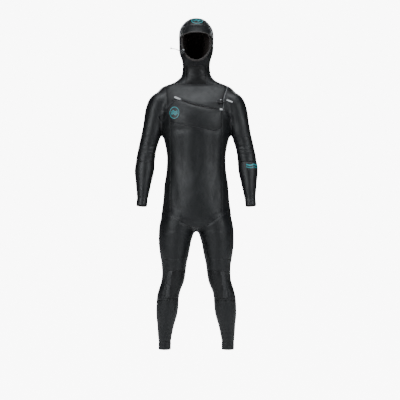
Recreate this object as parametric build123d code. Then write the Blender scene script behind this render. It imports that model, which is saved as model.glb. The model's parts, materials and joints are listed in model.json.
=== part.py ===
from build123d import *
import math
import os

# A hooded full wetsuit in the shape it has when worn: hollow, with open face, wrists and ankles.
# Frame: origin at the crotch, +Z up the body, front towards -Y, the wearer's left towards +X.
# Heights in the station lists are above the soles of the wearer's feet, in millimetres.

os.makedirs("parts", exist_ok=True)

# ---- driving sizes -------------------------------------------------------------------------
CROTCH_HEIGHT = 742.0      # crotch above the soles, so this height is z = 0
BODY_WALL = 5.0            # neoprene of the torso
LIMB_WALL = 4.0            # neoprene of the arms, legs and hood
SEAM_GAP = 0.3             # hairline between two curved pieces that are glued and stitched
OVERLAY = 1.2              # printed badges and knee pads stand this proud

WRIST_RADIUS = 28.5        # outer radius of the wrist cuff
WRIST_CUFF = 40.0          # length of the wrist cuff
ANKLE_RADIUS = 33.0        # outer radius of the ankle cuff
ANKLE_CUFF = 43.0          # length of the ankle cuff
CUFF_WALL = 4.0            # wall of both cuffs

ELBOW_HEIGHT = 1150.0      # elbow axis above the soles
ELBOW_UP = 72.0            # stretch section above the elbow axis
ELBOW_DOWN = 56.0          # and below it
KNEE_HEIGHT = 500.0        # knee axis above the soles
KNEE_UP = 100.0
KNEE_DOWN = 112.0
KNEE_SEAM = 541.0          # top edge of the knee pad above the soles
KNEE_PAD_LOW = 392.0       # bottom edge of the knee pad
KNEE_PAD_HALF = 44.0       # half width of the knee pad

FACE_HALF = 71.0           # half width of the face opening
FACE_WIDEST = 1690.0       # height where the jaw curve starts
FACE_DROP = 89.0           # how far the jaw curve drops below that
FACE_TOP = 1738.0          # brow edge
FACE_CORNER = 28.0         # brow corner radius
BINDING = 7.0              # width of the face binding
DRAWCORD = 3.0             # cord inside the binding
CORD_CLEAR = 0.3           # room around any cord

VISOR_ROOT = 1775.0        # height where the visor leaves the hood
VISOR_EDGE = 1737.0        # height of its front edge
VISOR_REACH = 133.0        # half depth of the visor's front ellipse
VISOR_THICK = 3.0

ZIP_START = (-100.0, 1412.0)   # chest zip, closed end, (x, height)
ZIP_MIDDLE = (5.0, 1374.0)
ZIP_END = (122.0, 1355.0)      # chest zip, box end
TAPE_HALF = 12.0           # half width of the two zip tapes together
TAPE_THICK = 1.0
CHAIN_HALF = 3.4           # half width of the closed chain
CHAIN_THICK = 2.4
CHAIN_SPLIT = 0.8          # half of the gap between the two rows
ZIP_SUNK = 1.6             # tape middle below the outer skin
ZIP_CLEAR = 0.3            # running clearance of the slider
SLIDER_LONG = 12.0
SLIDER_HALF = 4.8
SLIDER_PLATE = 1.6
PULLER_LONG = 33.0
PULLER_WIDE = 9.0
PULLER_THICK = 2.2
PIN_RADIUS = 0.9
PIN_CLEAR = 0.1

LOCK_RADIUS = 7.0          # cord lock barrel
LOCK_TALL = 18.0
LOCK_WALL = 1.2
BUTTON_PROUD = 5.0         # how far the button stands out of the barrel
BUTTON_TRAVEL = 3.5
CORD = 3.0                 # drawcord diameter
CORD_SPREAD = 4.0          # distance between the two strands
SPRING_WIRE = 0.6

HOOD_CORD_RUN = 46.0       # from the hood to the bend
HOOD_CORD_TAIL = 20.0      # from the bend to the knot
SHOULDER_CORD_RUN = 30.0   # from the shoulder loop to its knot
KNOT_RADIUS = 5.0


def up(height):
    return height - CROTCH_HEIGHT


# ---- body sections: height above soles, half width, half depth, centre y --------------------
TORSO = [
    (736, 62, 42, 6), (748, 96, 62, 6), (770, 140, 96, 8), (800, 178, 115, 10), (840, 178, 122, 12),
    (900, 169, 122, 10), (960, 165, 115, 6), (1040, 154, 106, 3), (1100, 150, 104, 0),
    (1180, 159, 114, 0), (1230, 171, 121, -1), (1290, 177, 122, -3), (1345, 188, 117, -1),
    (1400, 200, 100, 5), (1448, 199, 76, 11), (1472, 180, 64, 15), (1490, 140, 66, 15),
    (1504, 106, 70, 14), (1520, 86, 74, 13),
]
HOOD = [
    (1500, 76, 64, 14), (1518, 78, 66, 13), (1545, 73, 67, 10), (1576, 70, 71, 4), (1607, 73, 92, -8),
    (1640, 84, 98, -8), (1680, 88, 101, -7), (1715, 89, 102, -7), (1745, 88, 99, -6), (1775, 79, 90, -6),
    (1800, 59, 68, -5), (1815, 40, 45, -4), (1823, 17, 19, -3),
]
# arm: x, y, height, lean outwards in degrees, forward lean, half width, half depth
ARM = [
    (108, 6, 1404, 88, 0.0, 52, 56), (150, 5, 1405, 66, 0.0, 58, 60), (184, 4, 1388, 40, 0.0, 59, 62),
    (207, 4, 1345, 20, 0.0, 55, 61), (225, 4, 1254, 12, 0.0, 50, 55), (251, 5, 1153, 10, 0.05, 47, 50),
    (261, 1, 1086, 6, 0.10, 48, 49), (267, -8, 1020, 5, 0.18, 45, 46), (271, -25, 950, 4, 0.22, 35, 39),
]
WRIST = (273.6, -35.0, 907.0, 4, 0.22)
# leg: height above soles, x, y, half width, half depth
LEG = [
    (872, 82, 8, 62, 84), (840, 88, 8, 76, 100), (800, 94, 6, 88, 110), (745, 99.5, 4, 92, 108),
    (694, 108, 2, 85, 97), (632, 112, 0, 76, 86), (571, 113, -1, 65, 75), (520, 115.5, -2, 60, 66),
    (479, 122, 2, 58.6, 62), (428, 140, 8, 56.5, 60), (377, 147.5, 16, 57.5, 62), (321, 151, 20, 56, 58),
    (270, 156, 25, 47.5, 50), (219, 160.5, 30, 39, 41),
]
ANKLE = (170.0, 163.0, 33.0)   # top of the ankle cuff: height, x, y


def level(height, x, y, half_width, half_depth):
    return Pos(x, y, up(height)) * Ellipse(half_width, half_depth)


def torso(grow):
    sections = []
    for index, (height, half_width, half_depth, y) in enumerate(TORSO):
        shift = -grow if index == 0 else (grow if index == len(TORSO) - 1 else 0)
        sections.append(level(height + shift, 0, y, half_width + grow, half_depth + grow))
    return loft(sections)


def hood(grow):
    sections = []
    for index, (height, half_width, half_depth, y) in enumerate(HOOD):
        shift = grow if index == len(HOOD) - 1 else 0
        sections.append(level(height + shift, 0, y, half_width + grow, half_depth + grow))
    return loft(sections)


def arm_plane(x, y, height, lean, forward):
    angle = math.radians(lean)
    out = (math.cos(angle), 0, math.sin(angle))
    along = (math.sin(angle), -forward, -math.cos(angle))
    return Plane(origin=(x, y, up(height)), x_dir=out, z_dir=along)


WRIST_PLANE = arm_plane(*WRIST)


def arm(grow):
    sections = []
    for x, y, height, lean, forward, half_width, half_depth in ARM:
        sections.append(arm_plane(x, y, height, lean, forward) * Ellipse(half_width + grow, half_depth + grow))
    sections.append(WRIST_PLANE * Circle(WRIST_RADIUS + grow))
    return loft(sections)


def leg(grow):
    sections = []
    for height, x, y, half_width, half_depth in LEG:
        sections.append(level(height, x, y, half_width + grow, half_depth + grow))
    height, x, y = ANKLE
    sections.append(Pos(x, y, up(height)) * Circle(ANKLE_RADIUS + grow))
    return loft(sections)


def block(x0, x1, y0, y1, low, high):
    size = Box(x1 - x0, y1 - y0, high - low)
    return Pos((x0 + x1) / 2, (y0 + y1) / 2, up((low + high) / 2)) * size


def front_prism(points, y0, y1):
    # a flat outline in (x, height), pushed through the suit from y0 to y1
    flat = Plane.XZ * make_face(Polyline([(x, up(height)) for x, height in points], close=True))
    return Pos(0, y1, 0) * extrude(flat, y1 - y0)


def mirrored(shape):
    return mirror(shape, about=Plane.YZ)


def save(name, *shapes):
    solids = [solid for shape in shapes for solid in shape.solids()]
    keep = [solid for solid in solids if solid.volume > 2.0]
    result = keep[0] if len(keep) == 1 else Compound(children=keep)
    export_step(result, f"parts/{name}.step")
    print(name, len(keep), "solids", round(sum(solid.volume for solid in keep)), "mm3")


def front_point(solid, x, height):
    # the skin's front at this x and height
    hits = solid.find_intersection_points(Axis((x, -400, up(height)), (0, 1, 0)))
    return min((hit[0] for hit in hits), key=lambda point: point.Y)


# ---- whole skins ---------------------------------------------------------------------------
torso_out = torso(0)
torso_in = torso(-BODY_WALL)
hood_out = hood(0)
hood_in = hood(-LIMB_WALL)
arm_out = arm(0)
arm_in = arm(-LIMB_WALL)
leg_out = leg(0)
leg_in = leg(-LIMB_WALL)
torso_clear = torso(SEAM_GAP)
print("volumes", torso_out.volume, hood_out.volume, arm_out.volume, leg_out.volume)

torso_skin = torso_out - torso_in - hood_in - arm_in - mirrored(arm_in) - leg_in - mirrored(leg_in)
hood_skin = hood_out - hood_in - torso_clear
arm_skin = arm_out - arm_in - torso_clear
leg_skin = leg_out - leg_in - torso_clear
print("skins", torso_skin.volume, hood_skin.volume, arm_skin.volume, leg_skin.volume)

# ---- chest zip frame: one circular arc just under the outer skin ---------------------------
tape_skin = torso(-ZIP_SUNK)
zip_points = [front_point(tape_skin, *spot) for spot in (ZIP_START, ZIP_MIDDLE, ZIP_END)]


def circle_through(a, b, c):
    ab = b - a
    ac = c - a
    normal = ab.cross(ac)
    to_centre = (normal.cross(ab) * ac.dot(ac) + ac.cross(normal) * ab.dot(ab)) / (2 * normal.dot(normal))
    return a + to_centre, normal.normalized()


zip_centre, zip_normal = circle_through(*zip_points)
if zip_normal.Z < 0:
    zip_normal = zip_normal * -1
zip_axis = Axis(zip_centre, zip_normal)
zip_radius = (zip_points[1] - zip_centre).length


def arc_angle(point):
    # signed angle from the zip's middle point to this point, about the zip's axis
    start = zip_points[1] - zip_centre
    spoke = point - zip_centre
    return math.degrees(math.atan2(start.cross(spoke).dot(zip_normal), start.dot(spoke)))


def arc_angle_at(x):
    # the angle where the arc reaches this x, by halving
    low, high = arc_angle(zip_points[0]), arc_angle(zip_points[2])
    for _ in range(40):
        middle = (low + high) / 2
        spot = zip_centre + (zip_points[1] - zip_centre).rotate(Axis((0, 0, 0), zip_normal), middle)
        if spot.X < x:
            low = middle
        else:
            high = middle
    return (low + high) / 2


zip_along = zip_normal.cross((zip_points[1] - zip_centre).normalized())
above = front_point(tape_skin, ZIP_MIDDLE[0], ZIP_MIDDLE[1] + 10)
below = front_point(tape_skin, ZIP_MIDDLE[0], ZIP_MIDDLE[1] - 10)
skin_normal = zip_along.cross(above - below).normalized()
zip_out = (skin_normal - zip_along * skin_normal.dot(zip_along)).normalized()
if zip_out.Y > 0:
    zip_out = zip_out * -1
zip_across = zip_out.cross(zip_along).normalized()
if zip_across.Z < 0:
    zip_across = zip_across * -1
zip_first = arc_angle(zip_points[0])
zip_last = arc_angle(zip_points[2])
print("zip arc centre", zip_centre, "normal", zip_normal, "radius", zip_radius)
print("zip angles", zip_first, zip_last)


def zip_band(across0, across1, out0, out1, angle0, angle1):
    # a band along the zip: across the zip, out from the tape, between two angles
    corners = [(across0, out0), (across1, out0), (across1, out1), (across0, out1)]
    points = [zip_points[1] + zip_across * a + zip_out * o for a, o in corners]
    profile = make_face(Polyline(*points, close=True)).rotate(zip_axis, angle0)
    return revolve(profile, zip_axis, revolution_arc=angle1 - angle0)


SLOT_HALF = SLIDER_HALF + 0.8
slider_angle = math.degrees(SLIDER_LONG / zip_radius)
zip_slot = zip_band(-SLOT_HALF, SLOT_HALF, -16, 12, zip_first, zip_last)
tape_pocket = zip_band(-TAPE_HALF - ZIP_CLEAR, TAPE_HALF + ZIP_CLEAR, -TAPE_THICK / 2 - ZIP_CLEAR, 12,
                       zip_first, zip_last)
zip_room = zip_slot + tape_pocket

# ---- torso panels --------------------------------------------------------------------------
SIDE_X = 131.0             # seam between the front or back panels and the side panels
ARMHOLE_X = 148.0          # seam between the back or yoke and the shoulders
RIDGE_Y = 11.0             # shoulder seam between front and back
PIT = 1345.0               # level of the armpits
HIP = 870.0                # seam round the hips
WAIST = 1180.0             # seam across the back
GUSSET = 772.0             # top of the crotch gusset
COLLAR = 1484.0            # seam at the base of the neck
CHEST_SEAM = [(SIDE_X, 1262), (91, 1246), (22, 1260), (-46, 1273), (-SIDE_X, 1290)]
EDGE = [(SIDE_X, 1355), (133, 1367), (136, 1408), (141, 1433), (156, 1470), (156, 1540)]

torso_open = torso_skin - zip_room
chest_region = front_prism([ZIP_START, ZIP_MIDDLE, ZIP_END, (SIDE_X, 1355)] + CHEST_SEAM
                           + [(-SIDE_X, PIT), (-ARMHOLE_X, PIT), (-ARMHOLE_X, 1360)], -250, RIDGE_Y)
yoke_region = front_prism([ZIP_START, ZIP_MIDDLE, ZIP_END] + EDGE
                          + [(-ARMHOLE_X, 1540), (-ARMHOLE_X, 1360)], -250, RIDGE_Y)
left_edge_region = front_prism([(SIDE_X, PIT)] + EDGE + [(260, 1540), (260, PIT)], -250, RIDGE_Y)
belly_region = front_prism(CHEST_SEAM + [(-SIDE_X, HIP), (SIDE_X, HIP)], -250, 0)
COLLAR_HALF = 92.0         # half width of the collar piece
collar_block = block(-COLLAR_HALF, COLLAR_HALF, -250, 250, COLLAR, 1560)

save("chest_yoke", torso_open & (yoke_region - collar_block))
save("neck_collar", torso_skin & collar_block)
save("chest_panel", torso_open & chest_region)
save("belly_panel", torso_skin & belly_region)
left_shoulder_region = left_edge_region + block(ARMHOLE_X, 260, RIDGE_Y, 250, PIT, 1540)
save("shoulder_left", torso_open & left_shoulder_region)
save("shoulder_right", torso_skin & block(-260, -ARMHOLE_X, -250, 250, PIT, 1540))
save("side_left", torso_skin & block(SIDE_X, 260, -250, 250, HIP, PIT))
save("side_right", torso_skin & block(-260, -SIDE_X, -250, 250, HIP, PIT))
save("back_upper", torso_skin & (block(-SIDE_X, SIDE_X, 0, 250, WAIST, PIT)
                                 + block(-ARMHOLE_X, ARMHOLE_X, RIDGE_Y, 250, PIT, 1540)
                                 - collar_block))
save("back_lower", torso_skin & block(-SIDE_X, SIDE_X, 0, 250, HIP, WAIST))
gusset_block = block(-60, 60, -250, 250, 700, GUSSET)
save("hip_front", torso_skin & block(-260, 260, -250, 8, 700, HIP) - gusset_block)
save("hip_back", torso_skin & block(-260, 260, 8, 250, 700, HIP) - gusset_block)
save("crotch_gusset", torso_skin & gusset_block)

# ---- hood ----------------------------------------------------------------------------------
CROWN_HALF = 42.0          # half width of the strip over the crown
NECK_TOP = 1576.0
NECK_HALF = 52.0           # half width of the smooth neck front


def face_outline(grow):
    # jaw curve below, straight cheeks and a rounded brow above
    jaw = Pos(0, up(FACE_WIDEST)) * Ellipse(FACE_HALF + grow, FACE_DROP + grow)
    tall = FACE_TOP - FACE_WIDEST + grow
    brow = Pos(0, up(FACE_WIDEST) + tall / 2) * Rectangle(2 * (FACE_HALF + grow), tall)
    brow = fillet(brow.vertices().sort_by(Axis.Y)[-2:], FACE_CORNER)
    lower = jaw & Pos(0, up(FACE_WIDEST) - 100) * Rectangle(400, 200)
    return extrude(Plane.XZ * (lower + brow), 220)


face_hole = face_outline(BINDING)
hood_open = hood_skin - face_hole
above_neck = block(-200, 200, -200, 200, NECK_TOP, 1900)
crown_block = block(-CROWN_HALF, CROWN_HALF, 0, 200, NECK_TOP, 1900) + block(
    -CROWN_HALF, CROWN_HALF, -200, 0, FACE_TOP, 1900)
neck_front_block = block(-NECK_HALF, NECK_HALF, -200, 0, 1400, NECK_TOP)
neck_skin = hood_skin & block(-200, 200, -200, 200, 1400, NECK_TOP)
save("neck_front", neck_skin & neck_front_block)
save("neck_back", neck_skin - neck_front_block)
save("hood_crown", hood_open & crown_block)
hood_sides = hood_open & above_neck - crown_block
save("hood_left", hood_sides & block(0, 200, -200, 200, NECK_TOP, 1900))
save("hood_right", hood_sides & block(-200, 0, -200, 200, NECK_TOP, 1900))

binding_room = face_outline(BINDING - 0.1) & block(-200, 200, -200, -20, 1500, 1900)
channel = (hood(-0.5 + CORD_CLEAR) - hood(-0.5 - DRAWCORD - CORD_CLEAR)) & (
    face_outline(2 + DRAWCORD + CORD_CLEAR) - face_outline(2 - CORD_CLEAR))
binding_solid = (hood(1.5) - hood(-5.5)) & binding_room - face_outline(0)
save("face_binding", binding_solid - channel)
save("hood_drawcord", (hood(-0.5) - hood(-0.5 - DRAWCORD)) & (face_outline(2 + DRAWCORD) - face_outline(2))
     & binding_room)


def visor_cone(grow):
    return loft([level(VISOR_ROOT, 0, HOOD[9][3], HOOD[9][1] + grow, HOOD[9][2] + grow),
                 level(VISOR_EDGE - 20, 0, HOOD[9][3], 90 + grow, VISOR_REACH + 24 + grow)], ruled=True)


visor_front = Plane.YZ * make_face(Polyline(
    [(-200, up(VISOR_EDGE + 12)), (-50, up(VISOR_EDGE - 27)), (-50, up(1800)), (-200, up(1800))], close=True))
visor_shell = visor_cone(0) - visor_cone(-VISOR_THICK)
visor = visor_shell & extrude(visor_front, 150, both=True) - hood(SEAM_GAP) - (hood(2.0) & face_hole)
save("visor", visor)

# ---- sleeves and legs ----------------------------------------------------------------------
def cuff(plane, radius, length):
    return plane * extrude(Circle(radius) - Circle(radius - CUFF_WALL), length)


wrist_cuff = cuff(WRIST_PLANE, WRIST_RADIUS, WRIST_CUFF)
ankle_plane = Plane(origin=(ANKLE[1], ANKLE[2], up(ANKLE[0])), x_dir=(1, 0, 0), z_dir=(0, 0, -1))
ankle_cuff = cuff(ankle_plane, ANKLE_RADIUS, ANKLE_CUFF)
elbow_top = ELBOW_HEIGHT + ELBOW_UP
elbow_low = ELBOW_HEIGHT - ELBOW_DOWN
knee_top = KNEE_HEIGHT + KNEE_UP
knee_low = KNEE_HEIGHT - KNEE_DOWN
knee_pad_cut = block(115 - KNEE_PAD_HALF, 115 + KNEE_PAD_HALF, -200, -20, KNEE_PAD_LOW, KNEE_SEAM)
pieces = {
    "sleeve": arm_skin & block(0, 400, -200, 200, elbow_top, 1600),
    "elbow": arm_skin & block(0, 400, -200, 200, elbow_low, elbow_top),
    "forearm": arm_skin & block(0, 400, -200, 200, 700, elbow_low - SEAM_GAP),
    "wrist_cuff": wrist_cuff,
    "thigh": leg_skin & block(-100, 400, -200, 200, knee_top, 1600),
    "knee": leg_skin & block(0, 400, -200, 200, knee_low, knee_top),
    "knee_pad": (leg(OVERLAY + 0.1) - leg(0.1)) & knee_pad_cut,
    "shin": leg_skin & block(0, 400, -200, 200, 100, knee_low - SEAM_GAP),
    "ankle_cuff": ankle_cuff,
}
for name, piece in pieces.items():
    save(name + "_left", piece)
    save(name + "_right", mirrored(piece))

# ---- zip -----------------------------------------------------------------------------------
ZIP_REST_X = -78.0         # slider at the closed end
ZIP_OPEN_X = 96.0          # slider at the box end
angle_rest = arc_angle_at(ZIP_REST_X)
angle_open = arc_angle_at(ZIP_OPEN_X)
chain_first = angle_rest - slider_angle
chain_last = arc_angle_at(ZIP_OPEN_X + 14)
print("slider turn", angle_open - angle_rest)

half_tape = TAPE_THICK / 2
save("zip_tapes", zip_band(CHAIN_HALF, TAPE_HALF, -half_tape, half_tape, zip_first + 0.2, zip_last - 0.2)
     + zip_band(-TAPE_HALF, -CHAIN_HALF, -half_tape, half_tape, zip_first + 0.2, zip_last - 0.2))
half_chain = CHAIN_THICK / 2
save("zip_chain", zip_band(CHAIN_SPLIT, CHAIN_HALF - 0.02, -half_chain, half_chain, chain_first, chain_last)
     + zip_band(-CHAIN_HALF + 0.02, -CHAIN_SPLIT, -half_chain, half_chain, chain_first, chain_last))
zip_box = zip_band(-CHAIN_HALF + 0.02, CHAIN_HALF - 0.02, -2.2, 2.2, chain_last + 0.1, chain_last + 1.4)
zip_stop = zip_band(-2.6, 2.6, -1.6, 1.8, chain_first - 0.8, chain_first - 0.1)
zip_garage = zip_band(-7, 7, half_tape + 0.1, 3.0, zip_first + 0.2, chain_first - 0.9)
save("zip_ends", zip_box, zip_stop, zip_garage)

plate_low = half_chain + ZIP_CLEAR
plate_high = plate_low + SLIDER_PLATE
slider_from = angle_rest - slider_angle / 2
slider_to = angle_rest + slider_angle / 2
web_half = CHAIN_SPLIT - ZIP_CLEAR
slider_solid = (zip_band(-SLIDER_HALF, SLIDER_HALF, plate_low, plate_high, slider_from, slider_to)
                + zip_band(-SLIDER_HALF, SLIDER_HALF, -plate_high, -plate_low, slider_from, slider_to)
                + zip_band(-web_half, web_half, -plate_low - 0.5, plate_low + 0.5,
                           angle_rest - slider_angle / 4, angle_rest + slider_angle / 4))


spoke = (zip_points[1] - zip_centre).rotate(Axis((0, 0, 0), zip_normal), angle_rest)
slider_spot = zip_centre + spoke
slider_x = zip_along.rotate(Axis((0, 0, 0), zip_normal), angle_rest) * -1
slider_z = zip_out.rotate(Axis((0, 0, 0), zip_normal), angle_rest)
slider_plane = Plane(origin=slider_spot, x_dir=slider_x, z_dir=slider_z)
LUG = 3.0                  # slider lug, square, with the puller's pin through it
PIN_HEIGHT = plate_high + 1.9
lug = Pos(0, 0, plate_high - 0.3 + 2.0) * Box(4.4, LUG, 4.0)
lug_hole = Pos(0, 0, PIN_HEIGHT) * Rot(90, 0, 0) * Cylinder(PIN_RADIUS + PIN_CLEAR, 20)
slider_solid = slider_solid + slider_plane * (lug - lug_hole)
save("zip_slider", slider_solid - slider_plane * lug_hole)
fork_gap = LUG / 2 + ZIP_CLEAR
pin = Pos(0, 0, PIN_HEIGHT) * Rot(90, 0, 0) * Cylinder(PIN_RADIUS, 2 * fork_gap + 2)
cheek = Pos(1.8, fork_gap + 1.0, PIN_HEIGHT) * Box(6.0, 2.0, 2.6)
tab = Pos(3.6 + PULLER_LONG / 2, 0, PIN_HEIGHT) * Box(PULLER_LONG - 1, PULLER_WIDE, PULLER_THICK)
tab = fillet(tab.edges().filter_by(Axis.Z), 3.0)
puller = pin + cheek + mirror(cheek, about=Plane.XZ) + tab
save("zip_puller", slider_plane * puller)
print("slider hinge", zip_centre, zip_normal, "puller pin", slider_plane.from_local_coords((0, 0, PIN_HEIGHT)),
      "puller axis", slider_plane.y_dir)

# soft guard behind the zip, under the yoke
guard_cut = front_prism([(-104, 1390), (5, 1350), (126, 1331), (126, 1376), (5, 1396), (-104, 1434)], -250, 0)
GUARD_DEEP = BODY_WALL + 2.2
save("zip_guard", (torso(-GUARD_DEEP) - torso(-GUARD_DEEP - 1.5)) & guard_cut)

# ---- cord locks ----------------------------------------------------------------------------
HOLE_TALL = CORD + 2 * CORD_CLEAR
HOLE_WIDE = CORD + CORD_SPREAD + 2 * CORD_CLEAR
CORD_LEVEL = -1.0          # cords cross the barrel here, measured from its middle


def oblong(length, wide, tall):
    return Box(length, wide - tall, tall) + Pos(0, (wide - tall) / 2, 0) * Rot(0, 90, 0) * Cylinder(
        tall / 2, length) + Pos(0, -(wide - tall) / 2, 0) * Rot(0, 90, 0) * Cylinder(tall / 2, length)


def lock_barrel():
    barrel = Cylinder(LOCK_RADIUS, LOCK_TALL)
    barrel = fillet(barrel.edges().sort_by(Axis.Z)[0], 1.5)
    bore = Pos(0, 0, LOCK_WALL) * Cylinder(LOCK_RADIUS - LOCK_WALL, LOCK_TALL)
    return barrel - bore - Pos(0, 0, CORD_LEVEL) * oblong(40, HOLE_WIDE, HOLE_TALL)


BUTTON_LOW = -3.6          # underside of the button, measured from the barrel's middle
button_radius = LOCK_RADIUS - LOCK_WALL - CORD_CLEAR


def lock_button():
    tall = LOCK_TALL / 2 + BUTTON_PROUD - BUTTON_LOW
    button = Pos(0, 0, BUTTON_LOW + tall / 2) * Cylinder(button_radius, tall)
    button = fillet(button.edges().sort_by(Axis.Z)[-1], 1.2)
    room = Pos(0, 0, CORD_LEVEL + BUTTON_TRAVEL / 2) * Box(40, HOLE_WIDE, HOLE_TALL + BUTTON_TRAVEL)
    return button - room


def lock_spring():
    low = -LOCK_TALL / 2 + LOCK_WALL + SPRING_WIRE / 2 + 0.1
    high = BUTTON_LOW - SPRING_WIRE / 2 - 0.1
    coil = Helix(pitch=(high - low) / 3, height=high - low, radius=3.6)
    wire = Plane(origin=coil @ 0, z_dir=coil % 0) * Circle(SPRING_WIRE / 2)
    return Pos(0, 0, low) * sweep(wire, path=coil, is_frenet=True)


def strands(points, spread_dir):
    # two strands side by side; straight runs joined by tangent arcs
    made = []
    for side in (-1, 1):
        shift = spread_dir * (side * CORD_SPREAD / 2)
        route = [Vector(*point) + shift for point in points]
        if len(route) > 2:
            first = (route[1] - route[0]).normalized()
            second = (route[2] - route[1]).normalized()
            half_turn = math.radians(first.get_angle(second)) / 2
            shorter = min((route[1] - route[0]).length, (route[2] - route[1]).length)
            radius = 0.45 * shorter / math.tan(half_turn)
            line = FilletPolyline(*route, radius=radius)
            print("cord bend radius", radius)
        else:
            line = Line(*route)
        tube = sweep(Plane(origin=line @ 0, z_dir=line % 0) * Circle(CORD / 2), path=line)
        print("cord volume", tube.volume, "section times length", math.pi * CORD ** 2 / 4 * line.length)
        made.append(tube)
    return made[0] + made[1]


# hood cord: leaves the binding at the wearer's right jaw
HOOD_EXIT_X = -60.0
HOOD_EXIT_HEIGHT = 1637.0
HOOD_CORD_PROUD = 10.0     # cord centre in front of the hood
jaw = front_point(hood_out, HOOD_EXIT_X, HOOD_EXIT_HEIGHT)
run = (-math.cos(math.radians(24)), 0, math.sin(math.radians(24)))
tail = (-math.cos(math.radians(10)), 0, math.sin(math.radians(10)))
hood_start = Vector(jaw.X, jaw.Y - HOOD_CORD_PROUD, jaw.Z)
hood_bend = hood_start + Vector(*run) * HOOD_CORD_RUN
hood_end = hood_bend + Vector(*tail) * HOOD_CORD_TAIL
save("hood_cord", strands([tuple(hood_start), tuple(hood_bend), tuple(hood_end)], Vector(0, 1, 0)),
     Plane(origin=hood_end + Vector(*tail) * (KNOT_RADIUS + 0.2)) * Sphere(KNOT_RADIUS))
exit_block = Plane(origin=hood_start - Vector(*run) * 2.2, x_dir=run, z_dir=(0, -1, 0)) * (
    Pos(0, 0, -5) * Box(4, 12, 22))
hood_exit = exit_block - hood(1.8) & block(-200, 200, -200, -40, 1500, 1800)
HOOD_LOCK_AT = 9.5         # lock centre along the run, at rest against the binding
hood_lock_up = Vector(run[2], 0, -run[0])
hood_lock_plane = Plane(origin=hood_start + Vector(*run) * HOOD_LOCK_AT - hood_lock_up * CORD_LEVEL, x_dir=run,
                        z_dir=hood_lock_up)
save("hood_lock", hood_lock_plane * lock_barrel())
save("hood_lock_button", hood_lock_plane * lock_button())
save("hood_lock_spring", hood_lock_plane * lock_spring())
print("hood cord start", hood_start, "bend", hood_bend, "end", hood_end, "run", run)
print("hood lock origin", hood_lock_plane.origin, "button axis", hood_lock_plane.z_dir)

# shoulder cord: a light cord laid over the left shoulder seam, its end through a second lock
lace_half = 2.0
lace_line = [(134, 1360), (137, 1385), (139.5, 1408), (144.5, 1433), (156, 1462), (158.5, 1474)]
lace_cut = front_prism([(x - lace_half, z) for x, z in lace_line]
                       + [(x + lace_half, z) for x, z in reversed(lace_line)], -250, RIDGE_Y)
save("shoulder_lace", (torso(2.2) - torso(0.1)) & lace_cut)
SHOULDER_CORD_HEIGHT = 1386.0
SHOULDER_CORD_PROUD = 10.5
collarbone = front_point(torso_out, 120, SHOULDER_CORD_HEIGHT)
over = front_point(torso_out, 120, SHOULDER_CORD_HEIGHT + 8) - front_point(
    torso_out, 120, SHOULDER_CORD_HEIGHT - 8)
over = over.normalized()
aside = front_point(torso_out, 112, SHOULDER_CORD_HEIGHT) - front_point(torso_out, 128, SHOULDER_CORD_HEIGHT)
aside = (aside - over * aside.dot(over)).normalized()
outward = aside.cross(over).normalized()
if outward.Y > 0:
    outward = outward * -1
shoulder_mid = collarbone + outward * SHOULDER_CORD_PROUD
shoulder_start = shoulder_mid - aside * 11
shoulder_end = shoulder_start + aside * SHOULDER_CORD_RUN
save("shoulder_cord", strands([tuple(shoulder_start), tuple(shoulder_end)], outward),
     Plane(origin=shoulder_end + aside * (KNOT_RADIUS + 0.2)) * Sphere(KNOT_RADIUS))
shoulder_block = Plane(origin=shoulder_start - aside * 2.2, x_dir=aside, z_dir=outward) * (
    Pos(0, 0, -6) * Box(4, 8, 22))
save("cord_exits", hood_exit, shoulder_block - torso(2.5))
shoulder_lock_plane = Plane(origin=shoulder_mid - over * CORD_LEVEL, x_dir=aside, z_dir=over)
save("shoulder_lock", shoulder_lock_plane * lock_barrel())
save("shoulder_lock_button", shoulder_lock_plane * lock_button())
save("shoulder_lock_spring", shoulder_lock_plane * lock_spring())
print("shoulder cord start", shoulder_start, "end", shoulder_end, "aside", aside, "over", over)
print("shoulder lock origin", shoulder_lock_plane.origin)

# ---- printed badges and bars ---------------------------------------------------------------
def outline_round(x, height, wide, tall):
    return Pos(0, 0, 0) * extrude(Plane.XZ * (Pos(x, up(height)) * Ellipse(wide / 2, tall / 2)), 260)


save("chest_badge", (torso(OVERLAY + 0.1) - torso(0.1)) & outline_round(-109, 1337, 51, 63))
BADGE_TILT = 52.0
crown_spot = (4.0, -62.0, up(1796))
badge_plane = Plane(origin=crown_spot, x_dir=(1, 0, 0),
                    z_dir=(0, -math.sin(math.radians(BADGE_TILT)), math.cos(math.radians(BADGE_TILT))))
save("hood_badge", (hood(OVERLAY + 0.1) - hood(0.1)) & badge_plane * extrude(Circle(30), 50, both=True))
save("forearm_badge", (arm(OVERLAY + 0.1) - arm(0.1)) & block(262, 320, -120, 8, 1054, 1091))
bar = (arm(OVERLAY + 0.1) - arm(0.1)) & front_prism([(152, 1401), (182, 1390), (185, 1396), (155, 1408)], -200, 0)
corner_bar = (torso(1.6) - torso(0.1)) & front_prism(
    [(118.5, 1351), (132, 1350), (132, 1358), (118.5, 1360)], -250, 0)
save("light_bars", bar - torso_clear, corner_bar)
print("mounts: wrist plane", WRIST_PLANE.origin, WRIST_PLANE.z_dir, "ankle", ankle_plane.origin)
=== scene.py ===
# %% [markdown]
# A hooded full wetsuit, standing in the shape it has when worn.
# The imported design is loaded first. It says where every panel, zip and cord is, in metres,
# with the origin at the crotch, so nothing here has to be fitted to it.

# %% Load the frame
import bpy
import bmesh
import json
import math
import numpy as np
from types import SimpleNamespace
from mathutils import Vector, Matrix
from mathutils.bvhtree import BVHTree


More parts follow.
